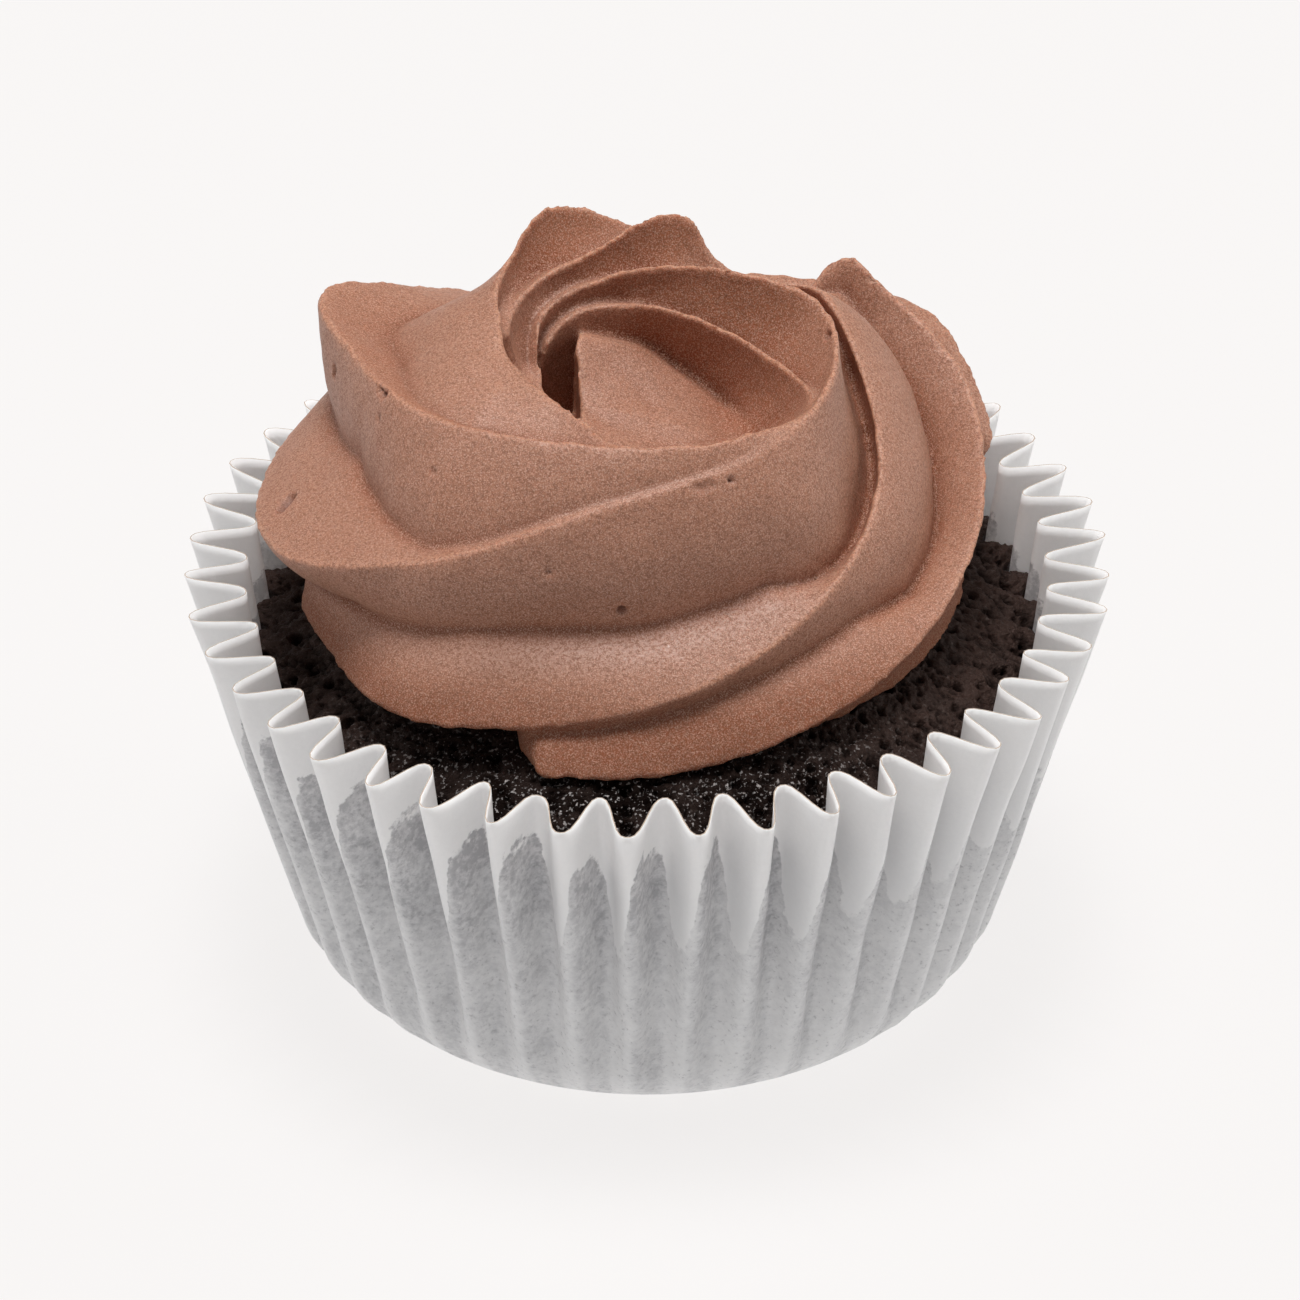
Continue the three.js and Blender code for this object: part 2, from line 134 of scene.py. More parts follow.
# %% [markdown]
# ## A small tool for wiring nodes
#
# Both the shapes and the finishes below are wired from nodes. Placing each node by hand in a script
# soon hides what it does, so a little drawing board does the placing: `board.add` puts a node down
# and fills its inputs, with numbers or with wires, and `board.calc` puts down one sum.

# %% Wiring board
class Board:
    """Puts nodes into a tree and wires them up."""

    def __init__(self, tree):
        self.tree = tree

    def add(self, kind, wires=None, out=0, **settings):
        """A node of that kind. Returns its output socket, or the node where out is None."""
        node = self.tree.nodes.new(kind)
        for name, value in settings.items():
            setattr(node, name, value)
        for name, value in (wires or {}).items():
            socket = node.inputs[name]
            if isinstance(value, bpy.types.NodeSocket):
                self.tree.links.new(value, socket)
            else:
                socket.default_value = value
        return node if out is None else node.outputs[out]

    def calc(self, operation, a, b=0.0, c=0.0):
        """One sum of numbers."""
        return self.add("ShaderNodeMath", {0: a, 1: b, 2: c}, operation=operation)

    def plus(self, a, b):
        return self.calc("ADD", a, b)

    def minus(self, a, b):
        return self.calc("SUBTRACT", a, b)

    def times(self, a, b):
        return self.calc("MULTIPLY", a, b)

    def over(self, a, b):
        return self.calc("DIVIDE", a, b)

    def mark(self, name):
        """A number that the mesh carries on its points, for a finish."""
        return self.add("ShaderNodeAttribute", out="Fac", attribute_name=name)

    def blend(self, share, a, b):
        """From number a to number b."""
        return self.add("ShaderNodeMix", {0: share, 2: a, 3: b})

    def tint(self, share, a, b, how="MIX"):
        """From colour a to colour b."""
        return self.add("ShaderNodeMix", {0: share, 6: a, 7: b}, out=2, data_type="RGBA", blend_type=how)

    def ramp(self, value, low, high, to_low=0.0, to_high=1.0):
        """Maps low..high smoothly to to_low..to_high."""
        return self.add("ShaderNodeMapRange", {0: value, 1: low, 2: high, 3: to_low, 4: to_high},
                        interpolation_type="SMOOTHSTEP")


def new_tree(name, kind, takes, gives):
    """A node group with named sockets: (name, kind of socket, value) in, (name, kind) out."""
    tree = bpy.data.node_groups.new(name, kind)
    for label, socket, value in takes:
        made = tree.interface.new_socket(label, in_out="INPUT", socket_type=socket)
        if value is not None:
            made.default_value = value
    for label, socket in gives:
        tree.interface.new_socket(label, in_out="OUTPUT", socket_type=socket)
    board = Board(tree)
    taken = board.add("NodeGroupInput", out=None)
    given = board.add("NodeGroupOutput", out=None)
    return tree, board, taken.outputs, given.inputs


NUMBER, WHOLE, SHAPE, FINISH = ["NodeSocket" + kind for kind in ("Float", "Int", "Geometry", "Material")]


def settle(piece):
    """Keeps the plain mesh that the piece's modifiers give, and takes the modifiers off."""
    bpy.context.view_layer.update()
    made = bpy.data.meshes.new_from_object(piece.evaluated_get(bpy.context.evaluated_depsgraph_get()))
    piece.modifiers.clear()
    old = piece.data
    piece.data = made
    bpy.data.meshes.remove(old)


def bake(piece, tree, **values):
    """Runs a shape tree on a piece with these inputs."""
    step = piece.modifiers.new(tree.name, "NODES")
    step.node_group = tree
    named = {item.name: item.identifier for item in tree.interface.items_tree if item.in_out == "INPUT"}
    for name, value in values.items():
        step[named[name.replace("_", " ")]] = value
    settle(piece)


def finish_tree(board, give, shape, finish):
    """Every shape tree ends like this: real faces, with their finish on."""
    shape = board.add("GeometryNodeRealizeInstances", {"Geometry": shape})
    shape = board.add("GeometryNodeSetMaterial", {"Geometry": shape, "Material": finish})
    board.tree.links.new(shape, give["Geometry"])


def new_piece(name, points, faces):
    """A mesh object at the origin, from points in millimetres."""
    mesh = bpy.data.meshes.new(name)
    mesh.from_pydata((np.asarray(points) * MM).tolist(), [], faces)
    mesh.update()
    piece = bpy.data.objects.new(name, mesh)
    scene.collection.objects.link(piece)
    return piece


print("drawing board ready")

# %% [markdown]
# ## Finishes
#
# All three materials share two effects, so each effect is a group that is built once. *Speckle* is a
# fine salt-and-pepper grain: sugar in the cream, wet crumb in the cake, fibres in the paper. *Cloud*
# is the slow drift in tone that keeps a large surface from looking like plastic.

# %% Shared effects
def speckle_group():
    """A fine grain all over, and a sparkle here and there."""
    tree, board, take, give = new_tree(
        "speckle", "ShaderNodeTree",
        [("Size", NUMBER, 0.3), ("Sharpness", NUMBER, 0.5)],
        [("Grain", NUMBER), ("Sparkle", NUMBER)])
    spot = board.add("ShaderNodeTexCoord", out="Object")
    often = board.over(1.0 / MM, take["Size"])
    fine = board.add("ShaderNodeTexNoise", {"Vector": spot, "Scale": often, "Detail": 3.0,
                                            "Roughness": take["Sharpness"]})
    cells = board.add("ShaderNodeTexVoronoi", {"Vector": spot, "Scale": often}, out=None)
    chance = board.add("ShaderNodeSeparateColor", {"Color": cells.outputs["Color"]}, out="Red")
    near = board.ramp(cells.outputs["Distance"], 0.1, 0.45, 1.0, 0.0)
    board.tree.links.new(fine, give["Grain"])
    board.tree.links.new(board.times(near, board.ramp(chance, 0.86, 0.99)), give["Sparkle"])
    return tree


def cloud_group():
    """A slow drift between 0 and 1."""
    tree, board, take, give = new_tree(
        "cloud", "ShaderNodeTree",
        [("Size", NUMBER, 5.0), ("Contrast", NUMBER, 0.5)],
        [("Shade", NUMBER)])
    spot = board.add("ShaderNodeTexCoord", out="Object")
    often = board.over(1.0 / MM, take["Size"])
    slow = board.add("ShaderNodeTexNoise", {"Vector": spot, "Scale": often, "Detail": 4.0})
    half = board.times(take["Contrast"], 0.5)
    low = board.minus(0.5, half)
    high = board.plus(0.5, half)
    board.tree.links.new(board.ramp(slow, low, high), give["Shade"])
    return tree


SPECKLE, CLOUD = speckle_group(), cloud_group()


def effect(board, tree, out, **values):
    """One output of a shared effect, placed in a material."""
    placed = board.add("ShaderNodeGroup", out=None, node_tree=tree)
    for name, value in values.items():
        placed.inputs[name].default_value = value
    return placed.outputs[out]


def new_finish(name):
    """A material, a board to wire it on, its shader, and a way to wire something into the shader."""
    finish = bpy.data.materials.new(name)
    finish.use_nodes = True
    shader = finish.node_tree.nodes["Principled BSDF"]
    put = lambda socket, value: finish.node_tree.links.new(value, shader.inputs[socket])
    return finish, Board(finish.node_tree), shader, put


print("effects:", SPECKLE.name, CLOUD.name)

# %% [markdown]
# ## Buttercream
#
# Buttercream is butter beaten with sugar and cocoa. It is satin rather than glossy, light sinks into
# it a little, and the sugar leaves a grain that sparkles. Its colour carries painted shade, darker and
# redder in the creases, the valleys, the pits and on the faces that look into the eye, and a painted
# highlight, paler and warmer on the lips of the folds.

# %% Buttercream finish
CREAM = {
    "deep": (0.337, 0.145, 0.083, 1), "pale": (0.358, 0.161, 0.096, 1),  # the drift over a face
    "eye_shade": (0.27, 0.084, 0.036, 1),  # painted shade on the faces inside the eye that look in towards it
    # the lips get a painted highlight, the valleys and creases painted shade
    "lip": (0.50, 0.245, 0.145, 1), "valley_shade": (0.24, 0.064, 0.025, 1), "crease_shade": (0.13, 0.032, 0.012, 1),
    "grain": (0.225, 0.090, 0.048, 1), "sugar": (0.61, 0.36, 0.27, 1),
    # the pit colour is painted shade in the burst bubbles
    "froth": (0.50, 0.33, 0.27, 1), "pit": (0.13, 0.030, 0.010, 1)}


def buttercream_finish():
    """Satin cream with painted shade in the creases and a painted highlight on the lips, with sugar all over.
    """
    finish, board, shader, put = new_finish("milk chocolate buttercream")
    grain = effect(board, SPECKLE, "Grain", Size=0.28, Sharpness=0.6)
    sugar = effect(board, SPECKLE, "Sparkle", Size=0.35)
    shade = effect(board, CLOUD, "Shade", Size=6.0, Contrast=0.5)
    lip, crease_shade, valley_shade, eye_shade, froth, pit = map(
        board.mark, ("lip", "crease_shade", "valley_shade", "eye_shade", "froth", "pit"))
    fleck = effect(board, SPECKLE, "Grain", Size=0.12, Sharpness=0.7)
    base = board.tint(shade, CREAM["deep"], CREAM["pale"])
    # painted shade on the faces that look into the eye, in the valleys, creases and pits; painted highlight
    # on the lips
    layers = [(board.times(eye_shade, 0.65), "eye_shade"), (board.times(lip, 0.65), "lip"),
              (board.times(valley_shade, 0.8), "valley_shade"), (board.times(crease_shade, 0.9), "crease_shade"),
              (board.ramp(grain, 0.42, 0.62, 0.0, 0.85), "grain"),
              (board.ramp(fleck, 0.46, 0.66, 0.0, 0.75), "sugar"),
              (board.times(froth, board.ramp(grain, 0.35, 0.6, 0.6, 0.1)), "froth"),
              (board.times(pit, 0.85), "pit")]
    for share, colour in layers:
        base = board.tint(share, base, CREAM[colour])
    put("Base Color", base)
    put("Roughness", board.minus(board.ramp(grain, 0.3, 0.7, 0.50, 0.66), board.times(sugar, 0.25)))
    put("Specular IOR Level", board.blend(board.calc("MAXIMUM", valley_shade, eye_shade), 0.5, 0.15))
    shader.inputs["Subsurface Weight"].default_value = 0.25
    shader.inputs["Subsurface Radius"].default_value = (1.0, 0.45, 0.3)
    shader.inputs["Subsurface Scale"].default_value = 1.2 * MM
    bubbles = effect(board, SPECKLE, "Sparkle", Size=0.7)
    height = board.plus(board.times(grain, 0.06), board.times(sugar, 0.02))
    height = board.minus(height, board.times(board.times(bubbles, froth), 0.2))
    bump = board.add("ShaderNodeBump", {"Strength": 0.8, "Distance": MM, "Height": height})
    put("Normal", bump)
    return finish


BUTTERCREAM = buttercream_finish()
print("finish:", BUTTERCREAM.name)

# %% [markdown]
# ## Piping the swirl
#
# A star nozzle leaves one ridge for each tooth, and the ridges wind up round the eye of the swirl.
# The eye is not over the middle of the case: hands are never that exact. So the swirl is described
# the way it was made. Each tooth has a path: the angle round the eye, the distance from it, and the
# height. A cut through the swirl at any angle is then a chain of soft curves from one ridge to the
# next, and the surface is many cuts side by side.

# %% The teeth of the nozzle
EYE = (-7.0, 3.5)  # millimetres, as all sizes of the swirl
EYE_HEIGHT = 45.0  # the bottom of the hole in it

# Each tooth has an order, which sorts the ridges on a cut, a fade: how many degrees its ridge takes
# to rise and to sink, and a seat: where it lies while it is flat, first and last.
# path: (angle, distance, height) of the ridge.
# groove: (angle, along, depth, swell below, swell above) of the groove inside the ridge. It lies that
# far along the straight line to the next ridge, and that deep below it, both as shares of its length.
# A swell is by how many degrees the flank bulges.
TEETH = {
    "first": dict(order=100, fade=(4, 25), seat=(0.4, 0.4), path=[
        (9, 35.4, 38.6), (14, 36.7, 40.7), (24, 36.5, 44.3), (33, 35.9, 46.1), (62, 29, 45.7),
        (110, 23.5, 43), (165, 24, 41), (207, 25.8, 43), (237, 23.3, 47), (279, 20.3, 52.5),
        (330, 22.1, 54.7), (370, 21.6, 56.5),
        (391, 15.1, 57.5), (430, 8.8, 56), (450, 7.2, 55), (466, 5.7, 54.2), (474, 4.7, 53.4),
        (482, 3.5, 52.6), (492, 2.3, 51.6), (520, 1.6, 50.9), (560, 1.3, 50.4), (600, 1.5, 50)],
        groove=[(9, 0.5, 0.3, 0, 0), (62, 0.5, 0.25, 0, 5), (140, 0.4, 0.22, 0, 10), (165, 0.42, 0.25, 5, 15),
                (198, 0.6, 0.24, -5, 12), (216, 0.48, 0.24, 0, 15), (228, 0.32, 0.21, 5, 15),
                (240, 0.14, 0.16, 0, 18), (255, 0.09, 0.12, 0, 15), (285, 0.12, 0.14, 0, 14),
                (305, 0.2, 0.2, -5, 8), (330, 0.4, 0.22, -10, 5), (346, 0.9, 0.35, -10, 5),
                (362, 1.15, 0.5, -8, 10), (391, 1.2, 0.5, -8, 12), (415, 1.05, 0.6, -8, 12),
                (440, 0.85, 0.7, -5, 10), (485, 0.6, 0.6, 0, 0), (600, 0.6, 0.3, 0, 0)]),
    "second": dict(order=50, fade=(14, 25), seat=(0.4, 0.4), path=[
        (92, 22.5, 44), (126, 20.8, 50), (149, 22.6, 53), (178, 17.1, 54.3), (213, 15.2, 55.2),
        (270, 15.9, 56.3), (316, 20.1, 55.5), (341, 21.4, 54), (365, 16.3, 53.7), (394, 11.3, 54.3),
        (432, 7.5, 54), (446, 6.3, 53.5), (462, 5.1, 52.2), (471, 4.2, 51.3), (479, 3, 50.3),
        (488, 2, 49.3)],
        groove=[(92, 0.4, 0.15, 0, 0), (149, 0.38, 0.2, 0, 10), (178, 0.3, 0.2, 0, 15),
                (213, 0.15, 0.12, 0, 15), (240, 0.1, 0.1, 0, 15), (270, 0.3, 0.3, -15, 0),
                (300, 0.5, 0.3, -20, -5), (320, 0.54, 0.25, -20, 0), (341, 0.55, 0.21, -16, -5),
                (358, 0.72, 0.2, -14, -12), (368, 0.88, 0.26, -12, 0), (376, 1.05, 0.36, -8, 10),
                (394, 1.25, 0.36, -8, 12), (414, 1.0, 0.6, -2, 12), (432, 0.9, 0.75, 0, 10),
                (488, 0.5, 0.5, 0, 0)]),
    "third": dict(order=170, fade=(3, 12), seat=(0.3, 0.9), path=[
        (195, 22, 34), (218, 23.4, 34.5), (242, 27.2, 35.2), (266.8, 26.8, 36.2), (295.8, 28.2, 39.5),
        (320, 28.3, 43.5), (343, 26.9, 47.6), (364, 24.3, 52), (382, 23, 54.5), (394, 22.4, 54.5)],
        groove=[(195, 0.3, 0.2, 5, 10), (206, 0.4, 0.26, 10, 15), (221, 0.5, 0.28, 10, 18),
                (238, 0.54, 0.2, 10, 20), (251, 0.54, 0.17, 10, 20), (266, 0.47, 0.17, 10, 22),
                (284, 0.37, 0.2, 10, 24), (301, 0.31, 0.24, 8, 24), (313, 0.24, 0.24, 5, 24),
                (324, -0.04, 0.27, 5, 20), (332, -0.2, 0.3, -5, 12), (340, -0.34, 0.38, -14, 4),
                (350, -0.5, 0.36, -22, -6), (360, -0.7, 0.38, -24, -14), (370, -0.95, 0.46, -24, -20),
                (384, -0.3, 0.46, -10, -14), (394, 0, 0.35, 0, 0)]),
    "fourth": dict(order=260, fade=(3, 30), seat=(0.3, 0.4), path=[
        (264, 28.2, 32.4), (292, 30.3, 33), (319, 32.8, 36), (346, 34.4, 40), (369, 34.9, 43.7),
        (376, 34.8, 45.3), (382, 34, 46.8), (390, 32.1, 49.2), (395, 30.9, 50.9), (397.5, 30.6, 51.6),
        (400.5, 29.6, 50.8), (403.5, 28.4, 48), (409, 27.4, 47.6), (421, 24.5, 48.4), (445, 19.5, 50.5),
        (485, 17, 49.5)],
        groove=[(264, 0.85, 0.25, 10, 0), (300, 0.78, 0.25, 12, 5), (325, 0.52, 0.26, 12, 20),
                (338, 0.19, 0.39, 16, 28), (355, 0.05, 0.47, 18, 30), (369, 0.04, 0.46, 18, 30),
                (378, 0.05, 0.46, 18, 28), (386, 0.05, 0.46, 12, 22), (396, 0.06, 0.38, 5, 12),
                (404, 0.3, 0.3, 0, 5), (421, 0.5, 0.2, 0, 0), (485, 0.5, 0.1, 0, 0)]),
    "lowest": dict(order=150, fade=(12, 15), seat=(0.4, 0.4), path=[
        (22, 34.5, 35), (50, 31.8, 38.5), (90, 26.8, 38.3), (130, 24, 37), (168, 22.5, 35)],
        groove=[(22, 0.5, 0.25, 10, 10), (168, 0.5, 0.25, 10, 10)]),
    "fifth": dict(order=-110, fade=(16, 14), seat=(0.4, 0.02), path=[
        (40, 20, 51), (70, 17.6, 56), (94, 13.8, 59.7), (117, 9.3, 58), (165, 5, 57), (228, 5.8, 56.3),
        (267, 9.1, 55.8), (291, 16, 56)],
        groove=[(40, 0.6, 0.3, -15, 0), (94, 0.8, 0.4, -15, 5), (117, 0.8, 0.55, -15, 5),
                (165, 0.5, 0.45, -5, 5), (228, 0.5, 0.45, -5, 5), (291, 0.5, 0.3, -20, 0)]),
    "sixth": dict(order=-160, fade=(14, 30), seat=(0.4, 0.1), path=[
        (28, 23, 50), (45, 18.2, 54.8), (54, 16.9, 59.2), (75, 10.5, 57.8), (103, 7.8, 56.5),
        (125, 6.2, 55.9), (141, 5.3, 55.4), (160, 4.5, 54.9), (182, 4.1, 54.6)],
        groove=[(28, 0.6, 0.3, -15, 0), (54, 0.82, 0.4, -15, 5), (75, 0.8, 0.55, -15, 5),
                (135, 0.8, 0.35, -10, 0), (182, 0.7, 0.2, -10, 0)]),
    "flap": dict(order=-350, fade=(22, 5), seat=(0.6, 0.4), path=[
        (-30, 12.6, 47.6), (-12, 12.8, 47.3), (5, 12.6, 47.2), (16, 11.8, 47.8), (28, 10.8, 48.8),
        (38, 9.8, 49.7), (47, 8.6, 50.6), (57, 7.1, 51.5), (80, 5.5, 52.5)],
        groove=[(-30, 0.5, 0.0, 6, 6), (20, 0.5, 0.0, 10, 10), (80, 0.5, 0.0, 8, 8)]),
    "cut edge": dict(order=-500, fade=(25, 5), seat=(0.7, 0.4), path=[
        (-95, 5.5, 48.9), (-75, 4.3, 49.3), (-60, 3.2, 49.5), (-34, 2, 49.4), (20, 1.7, 50),
        (55, 2.4, 51), (70, 3.9, 51.9), (79, 4.9, 52.4)],
        groove=[(-60, 0.65, 0.42, 0, 0), (-34, 0.63, 0.44, 0, 0), (20, 0.81, 0.32, 0, 0),
                (45, 0.79, 0.33, 0, 0), (80, 0.69, 0.41, 0, 0)]),
}
FOOT_GROOVE = (0.45, 0.15, -10, -10)

# Burst bubbles and small tears: ridge, angle, part of the face, how far along it, radius, depth.
PITS = [("first", 204.5, 1, 0.96, 0.46, 1.1), ("first", 202, 1, 0.97, 0.36, 0.8),
        ("first", 173, 1, 0.68, 0.4, 0.7), ("first", 173, 1, 0.62, 0.4, 0.7),
        ("first", 193, 0, 0.33, 0.55, 1.0), ("first", 194, 0, 0.28, 0.6, 1.1),
        ("first", 195, 0, 0.23, 0.55, 1.0), ("third", 283, 1, 0.2, 0.38, 1.4),
        ("third", 301.5, 1, 0.97, 0.5, 0.4), ("third", 303, 1, 0.95, 0.55, 0.4),
        ("third", 304.5, 1, 0.95, 0.45, 0.3), ("third", 309, 1, 0.93, 0.28, 0.7),
        ("third", 268, 1, 0.62, 0.3, 0.4), ("first", 236, 1, 0.6, 0.3, 0.4),
        ("first", 207, 1, 0.73, 0.25, 0.5), ("fourth", 34, 0, 0.03, 0.35, 0.8),
        ("first", 2, 0, 0.1, 0.45, 0.8)]

# Where the cream sits on the crumb: angle round the eye, distance from the eye.
FOOT = [(0, 33), (40, 32), (90, 24.5), (150, 20.5), (190, 19.5), (215, 19.5), (245, 20), (259, 20.5),
        (264, 26), (270, 27), (300, 29), (330, 31.5), (360, 33)]
print("ridges:", ", ".join(TEETH))

# %% The crumb that the cream sits on
CRUST_EDGE, CRUST_RADIUS = 28.7, 34.0  # where the crumb leaves the paper
DOME_RISE = 7.4
CRUMB_GAP = 0.35  # air between crumb and cream


def dome_height(r):
    """Height of the crumb at this distance from the axis."""
    return CRUST_EDGE + DOME_RISE * (1 - (r / CRUST_RADIUS) ** 2)


print("top of the crumb:", dome_height(0), "mm")

# %% Curves from ridge to ridge
def follow(stops, angle):
    """Distance and height on a smooth path through its stops."""
    i = 1
    while i < len(stops) - 1 and stops[i][0] < angle:
        i += 1
    a, b = np.array(stops[i - 1], float), np.array(stops[i], float)
    before = np.array(stops[i - 2], float) if i >= 2 else a
    after = np.array(stops[i + 1], float) if i + 1 < len(stops) else b
    span = b[0] - a[0]
    t = (angle - a[0]) / span
    slope_a = (b - before) / (b[0] - before[0]) * span
    slope_b = (after - a) / (after[0] - a[0]) * span
    return (a * (2 * t**3 - 3 * t**2 + 1) + slope_a * (t**3 - 2 * t**2 + t)
            + b * (3 * t**2 - 2 * t**3) + slope_b * (t**3 - t**2))[1:]


def between(stops, angle):
    """Straight steps between stops."""
    table = np.array(stops, float)
    return [np.interp(angle, table[:, 0], table[:, n]) for n in range(1, table.shape[1])]


def smooth(x, low, high):
    """From 0 at low to 1 at high, with soft ends."""
    t = min(max((x - low) / (high - low), 0.0), 1.0)
    return t * t * (3 - 2 * t)


def foot_point(angle, share):
    """A point of the underside, this share of the way from the eye to the edge."""
    distance = share * follow(FOOT, angle % 360)[0]
    x, y = EYE[0] + distance * cos(radians(angle)), EYE[1] + distance * sin(radians(angle))
    return np.array([distance, dome_height(hypot(x, y)) + CRUMB_GAP])


def turned(vector, degrees, reach):
    """The vector turned by so many degrees and stretched by reach."""
    c, s = cos(radians(degrees)), sin(radians(degrees))
    return reach * np.array([vector[0] * c - vector[1] * s, vector[0] * s + vector[1] * c])


HANDLE = 0.36  # how far along a curve its middle points lie


def flank(start, end, swell):
    """A curve of four points that leaves its straight line by this many degrees at both ends."""
    line = end - start
    return start, start + turned(line, -swell, HANDLE), end - turned(line, swell, HANDLE), end


def face(low, high):
    """Down from one ridge into its groove, and up to the next ridge."""
    along, depth, swell_low, swell_high = low["groove"]
    chord = high["crest"] - low["crest"]
    bottom = low["crest"] + along * chord + turned(chord, 90, depth)
    return np.array([flank(low["crest"], bottom, swell_low), flank(bottom, high["crest"], swell_high)])


def halves(curve, t):
    """Cuts a curve in two at t, so that nothing of its shape changes."""
    p, q, r, s = curve
    pq, qr, rs = p + (q - p) * t, q + (r - q) * t, r + (s - r) * t
    pqr, qrs = pq + (qr - pq) * t, qr + (rs - qr) * t
    middle = pqr + (qrs - pqr) * t
    return np.array([p, pq, pqr, middle]), np.array([middle, qrs, rs, s])


def cut(pair, t):
    """Cuts a face of two curves in two faces of two curves."""
    if t < 0.5:
        outside, rest = halves(pair[0], 2 * t)
        return np.array(halves(outside, 0.5)), np.array([rest, pair[1]])
    outside, rest = halves(pair[1], 2 * t - 1)
    return np.array([pair[0], outside]), np.array(halves(rest, 0.5))


print("a face of two curves:", cut(np.zeros((2, 4, 2)), 0.5)[0].shape)

# %% [markdown]
# A ridge does not start or end in a step: it rises out of the face beside it and sinks back into it.
# While it lies flat, the face runs on below it and is only cut in two where the ridge will be, so
# that no shape changes. A half-risen ridge is then the mean of the standing one and the flat one.

# %% One cut through the swirl
def crossing(angle):
    """The ridges that a cut at this angle meets, from the outside in."""
    found = []
    for name, tooth in TEETH.items():
        path, fade = tooth["path"], tooth["fade"]
        first, last = path[0][0], path[-1][0]
        at = angle - 360
        while at <= last:
            if at >= first:
                risen = smooth(at, first, first + fade[0])
                sunk = smooth(at, last - fade[1], last)
                found.append({
                    "lip": (name, round((at - angle) / 360)), "rank": at - tooth["order"],
                    "weight": min(risen, 1 - sunk), "seat": tooth["seat"][1 if sunk > 0 else 0],
                    "groove": between(tooth["groove"], at), "crest": follow(path, at)})
            at += 360
    return sorted(found, key=lambda one: one["rank"])


def faces_of(ridges, stands):
    """The faces of one cut when only some of its ridges stand, and the rest lie flat."""
    row, low, waiting = [], ridges[0], []
    for one, up in zip(ridges[1:], stands[1:]):
        if not up:
            waiting.append(one)
            continue
        rest = face(low, one)
        for flat in waiting:
            outside, rest = cut(rest, flat["seat"])
            row.append(outside)
        row.append(rest)
        low, waiting = one, []
    return np.array(row)


def section(angle):
    """The ridges of a cut, each with the face below it: the mean of all the ways they can stand."""
    foot = {"lip": "foot", "crest": foot_point(angle, 1), "groove": FOOT_GROOVE, "weight": 1.0}
    eye = {"lip": "eye", "crest": np.array([0.0, EYE_HEIGHT]), "weight": 1.0}
    ridges = [foot, *crossing(angle), eye]
    half = [i for i, one in enumerate(ridges) if one["weight"] < 1]
    row = 0.0
    for choice in range(2 ** len(half)):
        stands, share = [True] * len(ridges), 1.0
        for bit, i in enumerate(half):
            stands[i] = bool(choice >> bit & 1)
            share *= ridges[i]["weight"] if stands[i] else 1 - ridges[i]["weight"]
        if share:
            row = row + share * faces_of(ridges, stands)
    return ridges, row


print("ridges on the cut towards the front:", [one["lip"] for one in section(270)[0]])

# %% [markdown]
# A curve is only a formula until points are set on it. Each lip gets a little fan of points, so that
# it is round and never a knife edge.

# %% Points on a cut
STEPS = 9  # points from a ridge to its groove, and as many up to the next ridge
LIP_ROUND = 0.25  # radius of the rounded lips, in millimetres
LIP_FAN = 4  # points round a lip
FLOOR_STEPS = 8  # points from the eye to the edge of the underside


def unit(vector):
    """The vector's direction."""
    return vector / max(hypot(*vector), 1e-9)


def rounded(row):
    """One cut as a line of points, with round lips. Gives the number of each lip's point."""
    row = row.copy()
    for i in range(len(row) - 1):  # draw each lip in by as much as its rounding adds
        tip = unit(row[i, 1, 3] - row[i, 1, 2]) + unit(row[i + 1, 0, 0] - row[i + 1, 0, 1])
        row[i, 1, 2:] -= tip / 2 * LIP_ROUND
        row[i + 1, 0, :2] -= tip / 2 * LIP_ROUND
    t = np.linspace(0, 1, STEPS + 1)[:, None]
    u = 1 - t
    line, lips = [], []
    before = None
    for pair in row:
        for part, (p, q, r, s) in enumerate(pair):
            spots = u**3 * p + 3 * u * u * t * q + 3 * u * t * t * r + t**3 * s
            ways = 3 * (u * u * (q - p) + 2 * u * t * (r - q) + t * t * (s - r))
            ways /= np.maximum(np.linalg.norm(ways, axis=1, keepdims=True), 1e-9)
            out = np.column_stack([ways[:, 1], -ways[:, 0]])
            start = atan2(out[0, 1], out[0, 0])
            if part == 0 and before is not None:  # a fan of points round the lip
                swing = (start - before + pi) % (2 * pi) - pi
                turns = np.linspace(before, before + swing, LIP_FAN + 1)[1:-1]
                line.extend(spots[0] + LIP_ROUND * np.array([cos(a), sin(a)]) for a in turns)
            line.extend(spots + LIP_ROUND * out)
            before = atan2(out[-1, 1], out[-1, 0])
        lips.append(len(line) - 1)
    return np.array(line), lips


def swirl_cut(angle):
    """The points of one cut, from the middle of the underside out and up over the ridges to the eye."""
    flat = [foot_point(angle, share) for share in np.linspace(0, 1, FLOOR_STEPS + 1)]
    ridges, row = section(angle)
    line, ends = rounded(row)
    lips = {"foot": FLOOR_STEPS}
    lips.update({one["lip"]: FLOOR_STEPS + 1 + end for one, end in zip(ridges[1:], ends)})
    line[:, 0] = np.maximum(line[:, 0], 0.0)
    line[-1] = (0.0, EYE_HEIGHT + LIP_ROUND)
    flat = np.concatenate([flat, line])
    x = EYE[0] + flat[:, 0] * cos(radians(angle))
    y = EYE[1] + flat[:, 0] * sin(radians(angle))
    return np.column_stack([x, y, flat[:, 1]]), lips


print("points on the cut towards the front:", len(swirl_cut(270)[0]))

# %% [markdown]
# Two cuts side by side rarely have the same ridges. So they are laced from lip to lip: between two
# lips that both cuts share, each point is joined to the one as far along on the other side.

# %% Many cuts side by side
CUTS = 720


